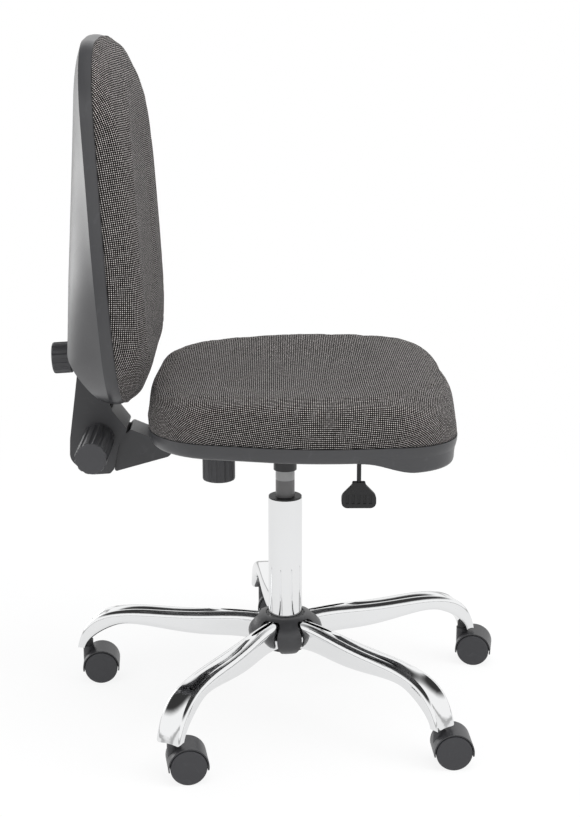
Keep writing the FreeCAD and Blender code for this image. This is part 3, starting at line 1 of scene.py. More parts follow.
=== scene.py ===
# %% [markdown]
# A task chair on a chromed five-arm base. Every solid of the chair is already built and packed, so this
# lesson loads it as a fixed frame and then does what solids can't: upholstery that is stuffed and woven,
# and a finish for every other piece. All sizes are in metres.

# %% Load the frame
import math

import bmesh
import bpy
import numpy as np
from mathutils import Matrix, Vector
from mathutils.bvhtree import BVHTree


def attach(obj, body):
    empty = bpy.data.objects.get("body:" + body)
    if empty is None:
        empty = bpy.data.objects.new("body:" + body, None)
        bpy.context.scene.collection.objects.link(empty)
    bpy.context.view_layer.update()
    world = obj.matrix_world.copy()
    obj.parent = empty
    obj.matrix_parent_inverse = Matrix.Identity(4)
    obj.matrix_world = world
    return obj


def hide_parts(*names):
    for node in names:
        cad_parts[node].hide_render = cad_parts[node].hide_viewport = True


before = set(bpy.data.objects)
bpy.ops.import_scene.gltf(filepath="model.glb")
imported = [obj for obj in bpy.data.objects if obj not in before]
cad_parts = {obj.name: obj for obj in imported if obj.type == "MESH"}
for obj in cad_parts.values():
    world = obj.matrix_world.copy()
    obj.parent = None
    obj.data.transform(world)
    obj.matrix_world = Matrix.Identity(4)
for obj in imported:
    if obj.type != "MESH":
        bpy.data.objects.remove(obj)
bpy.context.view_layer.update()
scene = bpy.context.scene
scene.view_settings.view_transform = "Standard"

# %% [markdown]
# The camera stands at the sitter's right hand, a little above the seat and about two metres away.
# A focal length in pixels, divided by the picture's height, gives the lens for a sensor of any height,
# so the framing doesn't depend on the size that Blender happens to be set to.

# %% Camera
PHOTO_HEIGHT = 817
FOCAL_PIXELS = 1561.0
SENSOR_HEIGHT = 36.0
EYE = Vector((-2.1926, 0.0208, 1.0082))
AHEAD = Vector((0.96876, -0.01234, -0.24768))


def aimed(place, way):
    """Matrix of a camera or lamp at a place, looking a given way."""
    return Matrix.Translation(place) @ way.to_track_quat("-Z", "Y").to_matrix().to_4x4()


camera_data = bpy.data.cameras.new("camera")
camera_data.sensor_fit = "VERTICAL"
camera_data.sensor_height = SENSOR_HEIGHT
camera_data.lens = FOCAL_PIXELS / PHOTO_HEIGHT * SENSOR_HEIGHT
camera = bpy.data.objects.new("camera", camera_data)
scene.collection.objects.link(camera)
camera.matrix_world = aimed(EYE, AHEAD)
scene.camera = camera
print("lens", round(camera_data.lens, 2), "mm")

# %% [markdown]
# A node tree is easier to read when each node is made in one line. The first helper adds a node, sets its
# plain values and links what feeds it. An input is given by its name or its number, and its value is
# either a socket to link or a value to keep. The others make the nodes that are used most.

# %% Node helpers
def add_node(tree, kind, inputs=None, **settings):
    node = tree.nodes.new(kind)
    for key, value in settings.items():
        setattr(node, key, value)
    for key, value in (inputs or {}).items():
        if isinstance(value, bpy.types.NodeSocket):
            tree.links.new(value, node.inputs[key])
        else:
            node.inputs[key].default_value = value
    return node


def calculated(tree, operation, *values):
    return add_node(tree, "ShaderNodeMath", dict(enumerate(values)), operation=operation).outputs[0]


def vector_math(tree, operation, *values):
    return add_node(tree, "ShaderNodeVectorMath", dict(enumerate(values)), operation=operation).outputs


def ranged(tree, value, span, low=0.0, high=1.0, kind="LINEAR"):
    """Goes from low to high while the value goes through the span."""
    inputs = {"Value": value, "From Min": span[0], "From Max": span[1], "To Min": low, "To Max": high}
    return add_node(tree, "ShaderNodeMapRange", inputs, interpolation_type=kind).outputs[0]


def mixed(tree, factor, first, second):
    return add_node(tree, "ShaderNodeMix", {0: factor, 6: first, 7: second}, data_type="RGBA").outputs[2]


def cleared_tree(owner):
    owner.use_nodes = True
    owner.node_tree.nodes.clear()
    return owner.node_tree


# %% [markdown]
# The studio is white all round, and the camera sees plain white. Mirrors such as chrome also see its dark
# ceiling and a grey line round its walls, which draw the long streaks on every chromed arm. Everything else
# is lit by a dimmer, even sky and by four large soft lamps, so that a colour renders about as written.

# %% World
WHITE = (1, 1, 1, 1)
SKY_TINT = (0.98, 0.99, 1.0, 1)
SKY_LIGHT = 0.62
CEILING_SPAN = (0.5, 0.8)
CEILING_TONE = 0.04
HORIZON_SPAN = (0.0, 0.09)
HORIZON_TONE = 0.45


def seen_directly(tree):
    """1 for rays from the camera or a mirror, else 0."""
    path = add_node(tree, "ShaderNodeLightPath").outputs
    return calculated(tree, "MAXIMUM", path["Is Camera Ray"], path["Is Glossy Ray"])


world = bpy.data.worlds.new("studio")
scene.world = world
tree = cleared_tree(world)
sky = add_node(tree, "ShaderNodeBackground", {"Color": SKY_TINT, "Strength": SKY_LIGHT})
toward = add_node(tree, "ShaderNodeTexCoord").outputs["Generated"]
rise = add_node(tree, "ShaderNodeSeparateXYZ", {0: toward}).outputs["Z"]
walls = ranged(tree, rise, CEILING_SPAN, 1.0, CEILING_TONE, "SMOOTHSTEP")
off_level = calculated(tree, "ABSOLUTE", rise)
band = ranged(tree, off_level, HORIZON_SPAN, HORIZON_TONE, 1.0, "SMOOTHSTEP")
mirrored = calculated(tree, "MULTIPLY", walls, band)
path = add_node(tree, "ShaderNodeLightPath").outputs
bright = calculated(tree, "MAXIMUM", mirrored, path["Is Camera Ray"])
white = add_node(tree, "ShaderNodeBackground", {"Color": WHITE, "Strength": bright})
both = add_node(tree, "ShaderNodeMixShader", {
    0: seen_directly(tree), 1: sky.outputs[0], 2: white.outputs[0]})
add_node(tree, "ShaderNodeOutputWorld", {0: both.outputs[0]})
print("world ready")

# %% [markdown]
# The floor is white too, but it must still take the chair's shadow. So what the camera sees is mostly a
# steady glow with a little real shading added on top of it, and the shading carries the shadow. Away from
# the chair the glow takes over, so the floor runs into the white wall with no edge. Mirrors see it a
# little dimmer, which keeps the undersides of the chrome apart from it.

# %% Floor
FLOOR_HALF = 14.0
MATT_TONE = 0.8
GLOW = 0.86
FADE_SPAN = (0.6, 1.8)
MIRRORED_SPAN = (1.0, 3.0)
MIRRORED_NEAR = 0.86
MIRRORED_FAR = 0.5


def grey(tone):
    return (tone, tone, tone, 1)


floor_mesh = bpy.data.meshes.new("floor")
shape = bmesh.new()
bmesh.ops.create_grid(shape, x_segments=1, y_segments=1, size=FLOOR_HALF)
shape.to_mesh(floor_mesh)
shape.free()
floor = bpy.data.objects.new("floor", floor_mesh)
scene.collection.objects.link(floor)

floor_paint = bpy.data.materials.new("floor_paint")
tree = cleared_tree(floor_paint)
matt = add_node(tree, "ShaderNodeBsdfDiffuse", {"Color": grey(MATT_TONE)})
thin = add_node(tree, "ShaderNodeBsdfDiffuse", {"Color": grey(1 - GLOW)})
plain = add_node(tree, "ShaderNodeLightPath").outputs["Is Camera Ray"]
near_glow = ranged(tree, plain, (0.0, 1.0), GLOW * MIRRORED_NEAR, GLOW)
glow = add_node(tree, "ShaderNodeEmission", {"Color": WHITE, "Strength": near_glow})
near = add_node(tree, "ShaderNodeAddShader", {0: thin.outputs[0], 1: glow.outputs[0]})
where = add_node(tree, "ShaderNodeTexCoord").outputs["Object"]
reach = vector_math(tree, "LENGTH", where)["Value"]
fade = ranged(tree, reach, FADE_SPAN, kind="SMOOTHSTEP")
dimmed = ranged(tree, reach, MIRRORED_SPAN, MIRRORED_NEAR, MIRRORED_FAR, "SMOOTHSTEP")
bright = calculated(tree, "MAXIMUM", dimmed, plain)
far = add_node(tree, "ShaderNodeEmission", {"Color": WHITE, "Strength": bright})
lit = add_node(tree, "ShaderNodeMixShader", {0: fade, 1: near.outputs[0], 2: far.outputs[0]})
both = add_node(tree, "ShaderNodeMixShader", {
    0: seen_directly(tree), 1: matt.outputs[0], 2: lit.outputs[0]})
add_node(tree, "ShaderNodeOutputMaterial", {0: both.outputs[0]})
floor_mesh.materials.append(floor_paint)
print("floor", 2 * FLOOR_HALF, "m wide")

# %% [markdown]
# Four soft boxes: one above, one on each side of the camera and one low behind. Each is aimed at the
# middle of the chair. Large lamps give the broad, quiet shading of a catalogue picture. Mirrors don't see
# the first three, which would only burn white patches into the chrome; the low one is what gleams on the
# rear shell. Each row gives the lamp's name, place, size, power in watts and whether mirrors see it.

# %% Lamps
MIDDLE = Vector((0.0, 0.0, 0.5))
SOFT_BOXES = (
    ("lamp_above", (-0.3, -0.5, 3.0), 2.2, 42.0, False),
    ("lamp_front_side", (-1.3, -2.7, 1.9), 1.8, 34.0, False),
    ("lamp_rear_side", (-2.1, 1.9, 1.5), 1.8, 15.0, False),
    ("lamp_far", (2.3, 2.3, 0.7), 1.6, 16.0, True),
)
for name, place, size, power, in_mirrors in SOFT_BOXES:
    lamp_data = bpy.data.lights.new(name, "AREA")
    lamp_data.size = size
    lamp_data.energy = power
    lamp = bpy.data.objects.new(name, lamp_data)
    scene.collection.objects.link(lamp)
    lamp.visible_glossy = in_mirrors
    lamp.matrix_world = aimed(place, MIDDLE - Vector(place))
    print(name, power, "W")

# %% [markdown]
# Moulded plastic, powder coat and metal all share one effect: a fine grain that breaks up the highlight,
# a broad, slow change of tone and a few faint scuffs. It is built once as a node group and placed in each
# material with its own scales.

# %% Surface group
SCUFF_SPAN = (0.58, 0.76)


def new_group(name, inputs, outputs):
    group = bpy.data.node_groups.new(name, "ShaderNodeTree")
    for label, kind, value in inputs:
        socket = group.interface.new_socket(label, in_out="INPUT", socket_type=kind)
        if value is not None:
            socket.default_value = value
    for label, kind in outputs:
        group.interface.new_socket(label, in_out="OUTPUT", socket_type=kind)
    return group, group.nodes.new("NodeGroupInput").outputs, group.nodes.new("NodeGroupOutput").inputs


surface, given, result = new_group(
    "surface_grain",
    [("Vector", "NodeSocketVector", None), ("Grain Scale", "NodeSocketFloat", 900.0),
     ("Tone Scale", "NodeSocketFloat", 9.0), ("Scuff Scale", "NodeSocketFloat", 60.0)],
    [("Grain", "NodeSocketFloat"), ("Tone", "NodeSocketFloat"), ("Scuff", "NodeSocketFloat")],
)
grain = add_node(surface, "ShaderNodeTexNoise", {
    "Vector": given["Vector"], "Scale": given["Grain Scale"], "Detail": 2.0, "Roughness": 0.6})
tone = add_node(surface, "ShaderNodeTexNoise", {
    "Vector": given["Vector"], "Scale": given["Tone Scale"], "Detail": 3.0})
scuff = add_node(surface, "ShaderNodeTexNoise", {
    "Vector": given["Vector"], "Scale": given["Scuff Scale"], "Detail": 5.0, "Distortion": 1.5})
scuffed = ranged(surface, scuff.outputs[0], SCUFF_SPAN, kind="SMOOTHSTEP")
surface.links.new(grain.outputs[0], result["Grain"])
surface.links.new(tone.outputs[0], result["Tone"])
surface.links.new(scuffed, result["Scuff"])
print("group", surface.name)

# %% [markdown]
# Most finishes share a few parts: a material with an empty tree, the surface group, a shallow bump and
# an output. A noise seldom leaves the middle half of its range, so that half is what drives a value
# from its low to its high end.

# %% Parts of a finish
NOISE_SPAN = (0.25, 0.75)


def new_finish(name):
    material = bpy.data.materials.new(name)
    return material, cleared_tree(material)


def shade(colour, factor):
    return (*(min(1.0, channel * factor) for channel in colour), 1.0)


def surface_nodes(tree, grain_scale, tone_scale, scuff_scale):
    where = add_node(tree, "ShaderNodeTexCoord").outputs["Object"]
    return add_node(tree, "ShaderNodeGroup", {
        "Vector": where, "Grain Scale": grain_scale, "Tone Scale": tone_scale,
        "Scuff Scale": scuff_scale}, node_tree=surface).outputs


def bumped(tree, height, strength, distance):
    return add_node(tree, "ShaderNodeBump", {
        "Strength": strength, "Distance": distance, "Height": height}).outputs[0]


def finished(tree, inputs):
    shader = add_node(tree, "ShaderNodeBsdfPrincipled", inputs)
    add_node(tree, "ShaderNodeOutputMaterial", {0: shader.outputs[0]})


# %% [markdown]
# Plastics and paint differ only in a few numbers: colour, gloss, and how coarse and deep the grain is. One
# function makes them all. The colour comes from the tone and the scuffs, the roughness from the tone, and
# the grain drives a very shallow bump.

# %% Coated and moulded finishes
TONE_SHADES = (0.9, 1.1)
SCUFF_SHADE = 1.22
ROUGHNESS_LESS = 0.04
ROUGHNESS_MORE = 0.05


def moulded(name, colour, roughness, grain_scale, grain_depth):
    material, tree = new_finish(name)
    skin = surface_nodes(tree, grain_scale, tone_scale=7.0, scuff_scale=45.0)
    plain = mixed(tree, skin["Tone"], shade(colour, TONE_SHADES[0]), shade(colour, TONE_SHADES[1]))
    finished(tree, {
        "Base Color": mixed(tree, skin["Scuff"], plain, shade(colour, SCUFF_SHADE)),
        "Roughness": ranged(tree, skin["Tone"], NOISE_SPAN,
                            roughness - ROUGHNESS_LESS, roughness + ROUGHNESS_MORE),
        "Normal": bumped(tree, skin["Grain"], strength=0.35, distance=grain_depth)})
    return material


DARK_GREY = (0.055, 0.055, 0.058)
KNOB_GREY = (0.055, 0.055, 0.059)
CASTER_GREY = (0.036, 0.036, 0.039)
WHEEL_GREY = (0.040, 0.040, 0.044)
BLACK = (0.012, 0.012, 0.013)
COAT = (0.028, 0.028, 0.03)
dark_plastic = moulded("dark_plastic", DARK_GREY, 0.32, grain_scale=1100.0, grain_depth=0.0002)
black_plastic = moulded("black_plastic", BLACK, 0.40, grain_scale=900.0, grain_depth=0.0002)
knob_plastic = moulded("knob_plastic", KNOB_GREY, 0.42, grain_scale=1000.0, grain_depth=0.0002)
caster_plastic = moulded("caster_plastic", CASTER_GREY, 0.36, grain_scale=1000.0, grain_depth=0.00018)
wheel_plastic = moulded("wheel_plastic", WHEEL_GREY, 0.48, grain_scale=1300.0, grain_depth=0.00022)
black_steel = moulded("black_steel", COAT, 0.38, grain_scale=420.0, grain_depth=0.00035)
print("moulded and coated finishes ready")

# %% [markdown]
# Chrome is a mirror, so nearly all of its look is what it reflects. Polished tube is never perfectly flat:
# a slow, tiny ripple bends the reflected lines, and thin smears make patches slightly less sharp. Ground
# steel is made the same way, with a fine grain in place of the ripple.

# %% Metals
METAL_SHADES = (0.97, 1.02)


def metal(name, colour, roughness, smear, ripple_scale, ripple_depth):
    material, tree = new_finish(name)
    skin = surface_nodes(tree, ripple_scale, tone_scale=5.0, scuff_scale=30.0)
    finished(tree, {
        "Base Color": mixed(tree, skin["Tone"], shade(colour, METAL_SHADES[0]),
                            shade(colour, METAL_SHADES[1])),
        "Roughness": ranged(tree, skin["Scuff"], (0.0, 1.0), roughness, roughness + smear),
        "Metallic": 1.0,
        "Normal": bumped(tree, skin["Grain"], strength=0.5, distance=ripple_depth)})
    return material


chrome = metal("chrome", (0.88, 0.885, 0.89), roughness=0.035, smear=0.05,
               ripple_scale=14.0, ripple_depth=0.0006)
bright_steel = metal("bright_steel", (0.6, 0.6, 0.62), roughness=0.3, smear=0.15,
                     ripple_scale=700.0, ripple_depth=0.00008)
print("metals ready")

# %% [markdown]
# The gas cylinder is a painted tube with a bare, ground band just below its seat. The band is a fixed
# height on the tube, so a step on the object's own height tells paint from metal.

# %% Gas cylinder finish
BAND_FOOT = 0.3415
BAND_BLUR = 0.0004
PAINT = ((0.145, 0.142, 0.142, 1), (0.175, 0.172, 0.172, 1))
BARE = ((0.33, 0.33, 0.33, 1), (0.40, 0.40, 0.40, 1))

gas_finish, tree = new_finish("gas_tube_paint")
where = add_node(tree, "ShaderNodeTexCoord").outputs["Object"]
height = add_node(tree, "ShaderNodeSeparateXYZ", {0: where}).outputs["Z"]
in_band = ranged(tree, height, (BAND_FOOT - BAND_BLUR, BAND_FOOT + BAND_BLUR))
skin = surface_nodes(tree, grain_scale=800.0, tone_scale=12.0, scuff_scale=70.0)
paint = mixed(tree, skin["Tone"], *PAINT)
bare = mixed(tree, skin["Tone"], *BARE)
finished(tree, {
    "Base Color": mixed(tree, in_band, paint, bare),
    "Roughness": ranged(tree, skin["Tone"], NOISE_SPAN, low=0.28, high=0.4),
    "Normal": bumped(tree, skin["Grain"], strength=0.3, distance=0.0001)})
print("gas cylinder's band from", BAND_FOOT)

# %% [markdown]
# The boards inside the seat and back are plywood with wavy layers. Their edges and the side under the foam
# are painted near black, a painted shade that stands for the thin dark gap line under each cushion. Only
# the side away from the foam is bare. The way a face points tells them apart, so each board has its own
# version.

# %% Boards
# Near-black painted shade for the dark gap line under each cushion.
PAINTED_GAP_SHADE = (0.006, 0.006, 0.006, 1)
VENEER = ((0.42, 0.27, 0.14, 1), (0.60, 0.44, 0.27, 1))
STAIN = (0.33, 0.2, 0.1, 1)
BARE_ABOVE = 0.7


def board_finish(name, axis, bare_way):
    material, tree = new_finish(name)
    where = add_node(tree, "ShaderNodeTexCoord").outputs
    layers = add_node(tree, "ShaderNodeTexWave", {
        "Vector": where["Object"], "Scale": 35.0, "Distortion": 4.0, "Detail": 2.0})
    skin = surface_nodes(tree, grain_scale=300.0, tone_scale=25.0, scuff_scale=80.0)
    veneer = mixed(tree, layers.outputs["Fac"], *VENEER)
    panel = mixed(tree, skin["Scuff"], veneer, STAIN)
    facing = add_node(tree, "ShaderNodeSeparateXYZ", {0: where["Normal"]}).outputs[axis]
    square = calculated(tree, "MULTIPLY", facing, bare_way)
    on_panel = calculated(tree, "GREATER_THAN", square, BARE_ABOVE)
    finished(tree, {
        # Every face that is not the bare side gets the painted shade.
        "Base Color": mixed(tree, on_panel, PAINTED_GAP_SHADE, panel),
        "Roughness": ranged(tree, skin["Tone"], NOISE_SPAN, low=0.65, high=0.8),
        "Normal": bumped(tree, skin["Grain"], strength=0.3, distance=0.0003)})
    return material


seat_plywood = board_finish("seat_plywood", "Z", -1.0)
back_plywood = board_finish("back_plywood", "Y", 1.0)
print("boards ready")

# %% [markdown]
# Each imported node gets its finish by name. The shapes are already right, so only the material changes.

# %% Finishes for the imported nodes
FINISHES = {
    "column_tube": chrome, "column_ring": black_plastic, "column_bush": black_plastic,
    "hub_core": black_steel, "hub_cover": dark_plastic, "caster_sockets": black_plastic,
    "piston_rod": bright_steel, "thrust_bearing": bright_steel, "gas_cylinder": gas_finish,
    "release_pin": bright_steel, "seat_plate": black_steel, "bar_guide": black_steel,
    "lever_bracket": black_steel, "lever_rod": black_plastic, "lever_paddle": black_plastic,
    "depth_knob": knob_plastic, "depth_stud": bright_steel, "seat_pan": dark_plastic,
    "seat_board": seat_plywood, "board_bolts": bright_steel, "pan_screws": bright_steel,
    "arm_bar": black_steel, "arm_shroud": dark_plastic, "upright_bar": black_steel,
    "upright_shroud": dark_plastic, "tilt_knob": knob_plastic, "tilt_stud": bright_steel,
    "back_bracket": black_steel, "back_board": back_plywood, "back_cover": dark_plastic,
    "back_screws": bright_steel, "height_knob": knob_plastic, "height_stud": bright_steel,
}
for k in range(1, 6):
    FINISHES[f"base_arm_{k}"] = chrome
    FINISHES[f"caster_{k}_hood"] = caster_plastic
    FINISHES[f"caster_{k}_pins"] = bright_steel
    FINISHES[f"caster_{k}_wheel_a"] = wheel_plastic
    FINISHES[f"caster_{k}_wheel_b"] = wheel_plastic
for name, finish in FINISHES.items():
    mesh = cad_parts[name].data
    mesh.materials.clear()
    mesh.materials.append(finish)
print("finished nodes", len(FINISHES), "of", len(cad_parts))

# %% [markdown]
# The cover cloth is a dark ground with a pale fleck at every crossing, in rows and columns a few threads
# apart. A grid of soft ovals on the cloth's own flat coordinates makes it, one random brightness for each
# fleck keeps it from looking printed, and fine fuzz breaks the ground.

# %% Weave
FLECK_PITCH = 0.0028
FLECK_HALF = (0.235, 0.275)
FLECK_EDGE = (1.2, 0.75)
FUZZ_SCALE = 3.1
FUZZ_SHARE = 0.35

weave, given, result = new_group(
    "flecked_weave",
    [("Vector", "NodeSocketVector", None), ("Pitch", "NodeSocketFloat", FLECK_PITCH)],
    [("Fleck", "NodeSocketFloat"), ("Random", "NodeSocketFloat"), ("Fuzz", "NodeSocketFloat"),
     ("Height", "NodeSocketFloat")],
)
per_metre = calculated(weave, "DIVIDE", 1.0, given["Pitch"])
cells = add_node(weave, "ShaderNodeVectorMath", {0: given["Vector"], "Scale": per_metre},
                 operation="SCALE").outputs[0]
inside = vector_math(weave, "FRACTION", cells)[0]
centred = vector_math(weave, "SUBTRACT", inside, (0.5, 0.5, 0.0))[0]
oval = vector_math(weave, "MULTIPLY", centred, (1 / FLECK_HALF[0], 1 / FLECK_HALF[1], 0.0))[0]
distance = vector_math(weave, "LENGTH", oval)["Value"]
fleck = ranged(weave, distance, FLECK_EDGE, kind="SMOOTHSTEP")
cell = vector_math(weave, "FLOOR", cells)[0]
chance = add_node(weave, "ShaderNodeTexWhiteNoise", {"Vector": cell},
                  noise_dimensions="2D").outputs["Value"]
fuzz = add_node(weave, "ShaderNodeTexNoise", {
    "Vector": cells, "Scale": FUZZ_SCALE, "Detail": 3.0}).outputs[0]
weave.links.new(fleck, result["Fleck"])
weave.links.new(chance, result["Random"])
weave.links.new(fuzz, result["Fuzz"])
weave.links.new(calculated(weave, "MULTIPLY_ADD", fuzz, FUZZ_SHARE, fleck), result["Height"])
print("group", weave.name)

# %% [markdown]
# The cloth itself is matt, with a trace of sheen. Its coordinates come from the cushions, which are made
# further down and keep them under this name.

# %% Cloth
CLOTH_UV = "cloth"
GROUND = ((0.003, 0.0027, 0.0027, 1), (0.010, 0.009, 0.0085, 1))
PALE = ((0.37, 0.345, 0.335, 1), (0.68, 0.64, 0.625, 1))

cloth, tree = new_finish("flecked_cloth")
flat = add_node(tree, "ShaderNodeUVMap", uv_map=CLOTH_UV).outputs[0]
threads = add_node(tree, "ShaderNodeGroup", {"Vector": flat, "Pitch": FLECK_PITCH}, node_tree=weave).outputs
ground = mixed(tree, threads["Fuzz"], *GROUND)
pale = mixed(tree, threads["Random"], *PALE)
finished(tree, {
    "Base Color": mixed(tree, threads["Fleck"], ground, pale),
    "Roughness": ranged(tree, threads["Fuzz"], NOISE_SPAN, low=0.8, high=0.95),
    "Normal": bumped(tree, threads["Height"], strength=0.5, distance=0.0003),
    "Specular IOR Level": 0.1, "Sheen Weight": 0.03, "Sheen Roughness": 0.5})
print("cloth ready, pitch", FLECK_PITCH)

# %% [markdown]
# The two cushions are dressed next. Each cover is drawn over its solid by casting rays at it. The rays go
# to an even copy of the solid in small cells, turned so that its third direction points out of the
# cushion's face. These helpers move points in and out of a mesh, bake its modifiers and cast the rays.

# %% Reading and casting
CAST_CELL = 0.003


def read_vectors(items, field, count):
    values = np.empty(count * 3, dtype=np.float32)
    items.foreach_get(field, values)
    return values.reshape(-1, 3).astype(float)


def coordinates(mesh):
    return read_vectors(mesh.vertices, "co", len(mesh.vertices))


def vertex_normals(mesh):
    return read_vectors(mesh.vertex_normals, "vector", len(mesh.vertices))


def set_coordinates(mesh, points):
    mesh.vertices.foreach_set("co", points.astype(np.float32).ravel())
    mesh.update()


def applied(piece):
    """Turns a piece's modifiers into its mesh."""
    graph = bpy.context.evaluated_depsgraph_get()
    mesh = bpy.data.meshes.new_from_object(piece.evaluated_get(graph))
    piece.modifiers.clear()
    piece.data = mesh


def local_tree(node, axes):
    """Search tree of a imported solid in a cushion's own three directions: across, along and out."""
    even = bpy.data.objects.new("even_copy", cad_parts[node].data.copy())
    scene.collection.objects.link(even)
    small_cells = even.modifiers.new("cells", "REMESH")
    small_cells.mode = "VOXEL"
    small_cells.voxel_size = CAST_CELL
    applied(even)
    points = coordinates(even.data) @ axes.T
    faces = [tuple(face.vertices) for face in even.data.polygons]
    tree = BVHTree.FromPolygons([Vector(point) for point in points.tolist()], faces)
    bpy.data.objects.remove(even)
    return tree, points


def struck(tree, start, way):
    hit = tree.ray_cast(Vector(start), Vector(way))[0]
    return np.array(start if hit is None else hit)


# %% [markdown]
# The cover starts as an even net: spokes run from the middle of the crown out over the shoulder and down
# the wall to the seam. The rows of the wall lie at shares of the cushion's height, and those of the crown
# at shares of the way in from the shoulder. The hem reaches just past the solid, so no light shows there.

# %% Net over a cushion
SPOKE_GAP = 0.004
OUTLINE_STEPS = 720
OUTLINE_SHARE = 0.4
CAST_FROM = 0.1
WALL_SHARES = (0.07, 0.13, 0.21, 0.3, 0.4, 0.5, 0.6, 0.69, 0.77)
CROWN_SHARES = (0.006, 0.014, 0.024, 0.037, 0.053, 0.072, 0.095, 0.12, 0.15, 0.185,
                0.225, 0.27, 0.32, 0.38, 0.45, 0.53, 0.62, 0.72, 0.83, 0.93)
SEAM_OVERLAP = 0.001


def evenly_round(tree, middle, level):
    """Outline of the solid at a level, as points that lie evenly along it."""
    outline = []
    for step in range(OUTLINE_STEPS):
        angle = math.tau * step / OUTLINE_STEPS
        way = np.array((math.cos(angle), math.sin(angle), 0.0))
        outline.append(struck(tree, (*(middle + way[:2]), level), -way)[:2])
    outline = np.array(outline + outline[:1])
    run = np.concatenate([[0.0], np.cumsum(np.linalg.norm(np.diff(outline, axis=0), axis=1))])
    places = np.linspace(0.0, run[-1], int(run[-1] / SPOKE_GAP), endpoint=False)
    return np.stack([np.interp(places, run, outline[:, 0]), np.interp(places, run, outline[:, 1])], axis=1)


def cushion_net(node, axes):
    """Rows of points from the seam up the wall and in over the crown, in the cushion's directions."""
    tree, points = local_tree(node, axes)
    low, high = points.min(axis=0), points.max(axis=0)
    middle = (low + high)[:2] / 2
    tall = high[2] - low[2]
    ring = evenly_round(tree, middle, low[2] + OUTLINE_SHARE * tall)
    ways = middle - ring
    ways /= np.linalg.norm(ways, axis=1, keepdims=True)
    rows = []
    for share in WALL_SHARES:
        level = low[2] + share * tall
        rows.append(np.array([struck(tree, (*(spot - CAST_FROM * way), level), (*way, 0.0))
                              for spot, way in zip(ring, ways)]))
    shoulder = rows[-1][:, :2]
    above = high[2] + CAST_FROM
    for share in CROWN_SHARES:
        spots = shoulder + (middle - shoulder) * share
        rows.append(np.array([struck(tree, (*spot, above), (0.0, 0.0, -1.0)) for spot in spots]))
    hem = rows[0].copy()
    hem[:, 2] = low[2] - SEAM_OVERLAP
    return [hem] + rows


# %% [markdown]
# The weave has to run over the crown and down the walls without stretching. On the crown its coordinates
# are simply the place seen square on. From the shoulder outwards, each step along a spoke is laid flat:
# what it drops is added to how far it goes outwards.

# %% Cloth coordinates
FLAT_FROM = 0.27
SOFTENINGS = 8


def outward(ring):
    """Outward directions of a closed row, softened so that the weave fans out evenly round a corner."""
    along = np.roll(ring, -1, axis=0) - np.roll(ring, 1, axis=0)
    for _ in range(SOFTENINGS):
        along = (np.roll(along, -1, axis=0) + along + np.roll(along, 1, axis=0)) / 3
    along /= np.linalg.norm(along, axis=1, keepdims=True)
    return np.stack([along[:, 1], -along[:, 0]], axis=1), along


def laid_flat(rows):
    """Cloth coordinates for every row, seam first."""
    first_flat = 1 + len(WALL_SHARES) + CROWN_SHARES.index(FLAT_FROM)
    out, along = outward(rows[len(WALL_SHARES)][:, :2])
    flat = [row[:, :2] for row in rows]
    for number in range(first_flat - 1, -1, -1):
        step = rows[number] - rows[number + 1]
        outwards = np.einsum("ij,ij->i", step[:, :2], out)
        sideways = np.einsum("ij,ij->i", step[:, :2], along)
        length = np.hypot(outwards, step[:, 2])
        flat[number] = flat[number + 1] + out * length[:, None] + along * sideways[:, None]
    return flat


# %% [markdown]
# A cushion is built from its net: rows of quads, a fan in the middle of the crown and a flat underside.

# %% Cushion mesh
def net_faces(row_count, spokes):
    """Faces of a net; its last two points are the middles of the crown and of the underside."""
    crown, under = row_count * spokes, row_count * spokes + 1
    faces = []
    for row in range(row_count - 1):
        for spoke in range(spokes):
            beside = (spoke + 1) % spokes
            faces.append((row * spokes + spoke, row * spokes + beside,
                          (row + 1) * spokes + beside, (row + 1) * spokes + spoke))
    last = (row_count - 1) * spokes
    for spoke in range(spokes):
        beside = (spoke + 1) % spokes
        faces.append((last + spoke, last + beside, crown))
        faces.append((beside, spoke, under))
    return faces


def with_middles(rows):
    """All points of the rows, and then the middles of the crown and of the underside."""
    return np.concatenate(rows + [rows[-1].mean(axis=0)[None], rows[0].mean(axis=0)[None]])


def covered(name, rows, axes):
    """Mesh of a cushion from its rows, with the weave's coordinates."""
    mesh = bpy.data.meshes.new(name)
    points = with_middles(rows) @ axes
    mesh.from_pydata(points.tolist(), [], net_faces(len(rows), len(rows[0])))
    mesh.update()
    corners = np.zeros(len(mesh.loops), dtype=np.int32)
    mesh.loops.foreach_get("vertex_index", corners)
    places = with_middles(laid_flat(rows))[corners]
    mesh.uv_layers.new(name=CLOTH_UV).data.foreach_set("uv", places.astype(np.float32).ravel())
    piece = bpy.data.objects.new(name, mesh)
    scene.collection.objects.link(piece)
    return piece


# %% [markdown]
# Now the stuffing. The cover is drawn in a little, and a cloth simulation with pressure inside pushes it
# out again until the weave takes the load, which rounds the shoulders and lets the walls belly. The seam
# and the middle of the crown are held, and no point may wander further than a few millimetres, so the
# cover keeps the solid's form.

# %% Stuffing a cushion
PRESSURE = 4.0
LAST_FRAME = 20
SIM_QUALITY = 4
MOST_MOVE = 0.0035
SHRINK = 0.0015
HELD_FROM = 0.45
NO_LENGTH = 1e-9


def held_points(rows):
    """Marks the hem, the first row of the wall, the middle of the crown and the underside."""
    wall = [True] + [False] * (len(WALL_SHARES) - 1)
    marks = [True] + wall + [share >= HELD_FROM for share in CROWN_SHARES]
    return np.concatenate([np.repeat(marks, len(rows[0])), [True, True]])


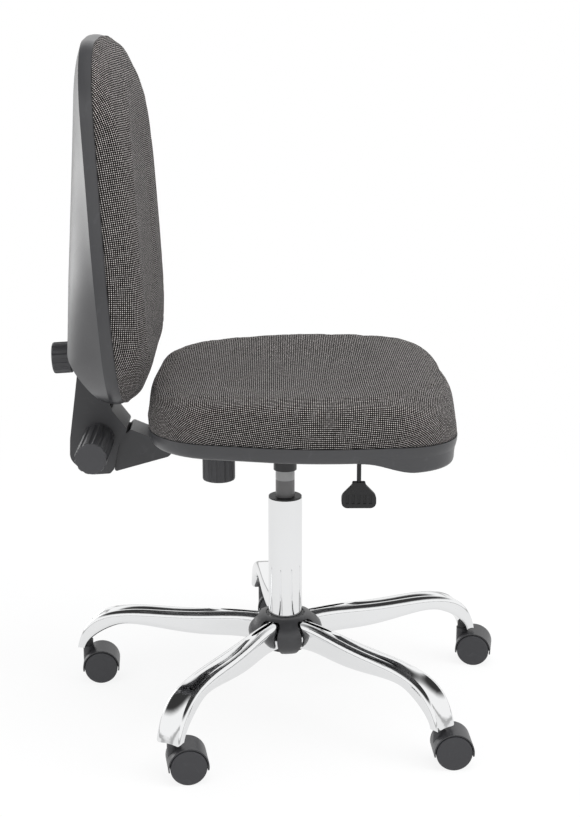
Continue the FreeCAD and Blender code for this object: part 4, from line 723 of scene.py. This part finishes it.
def blown_up(piece, held):
    """Runs the cloth under pressure; held marks the points that stay."""
    before = coordinates(piece.data)
    set_coordinates(piece.data, before - vertex_normals(piece.data) * SHRINK * (~held)[:, None])
    pins = piece.vertex_groups.new(name="held")
    pins.add([int(i) for i in np.nonzero(held)[0]], 1.0, "REPLACE")
    sim = piece.modifiers.new("cloth", "CLOTH")
    sim.settings.vertex_group_mass = "held"
    sim.settings.use_pressure = True
    sim.settings.uniform_pressure_force = PRESSURE
    sim.settings.effector_weights.gravity = 0.0
    sim.settings.quality = SIM_QUALITY
    sim.point_cache.frame_start = 1
    sim.point_cache.frame_end = LAST_FRAME
    for number in range(1, LAST_FRAME + 1):
        scene.frame_set(number)
    applied(piece)
    scene.frame_set(1)
    move = coordinates(piece.data) - before
    length = np.linalg.norm(move, axis=1, keepdims=True)
    move *= np.minimum(1.0, MOST_MOVE / np.maximum(length, NO_LENGTH))
    set_coordinates(piece.data, before + move)
    piece.vertex_groups.clear()
    print(piece.name, "moved up to", round(float(length.max()) * 1000, 1), "mm before the cap")


# %% [markdown]
# A stuffed cushion is shaded smooth, covered in the cloth and placed in the chair: it rides on a body and
# stands for one imported solid.

# %% Upholstering
def upholstered(piece, node, body):
    """Gives a finished cushion its smooth shading, cloth and place in the chair."""
    piece.data.polygons.foreach_set("use_smooth", [True] * len(piece.data.polygons))
    piece.data.materials.clear()
    piece.data.materials.append(cloth)
    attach(piece, body)
    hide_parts(node)
    print(piece.name, len(piece.data.polygons), "faces")


# %% [markdown]
# The seat is dished from its rear to about two thirds of its depth, and then rolls over its front edge.
# The solid is dished over its whole depth, so the front of the dish is filled up again before the cloth
# is run.

# %% Seat cushion
SEAT_AXES = np.identity(3)
SEAT_DISH = 0.013
SEAT_DISH_HALF = 0.212
FILL_FROM = -0.050
FILL_TO = -0.150

seat_rows = cushion_net("seat_cushion", SEAT_AXES)
for row in seat_rows[len(WALL_SHARES) + 1:]:
    ramp = np.clip((row[:, 1] - FILL_FROM) / (FILL_TO - FILL_FROM), 0.0, 1.0)
    lack = SEAT_DISH * np.maximum(0.0, 1 - (row[:, 0] / SEAT_DISH_HALF) ** 2)
    row[:, 2] += ramp * ramp * (3 - 2 * ramp) * lack
seat = covered("seat_upholstery", seat_rows, SEAT_AXES)
blown_up(seat, held_points(seat_rows))
upholstered(seat, "seat_cushion", "seat")

# %% [markdown]
# The back cushion is made the same way. Its three directions lean with the backrest.

# %% Back cushion
LEAN = math.radians(3.4)
BACK_AXES = np.array((
    (1.0, 0.0, 0.0),
    (0.0, math.sin(LEAN), math.cos(LEAN)),
    (0.0, -math.cos(LEAN), math.sin(LEAN))))

back_rows = cushion_net("back_cushion", BACK_AXES)
back = covered("back_upholstery", back_rows, BACK_AXES)
blown_up(back, held_points(back_rows))
upholstered(back, "back_cushion", "backrest")
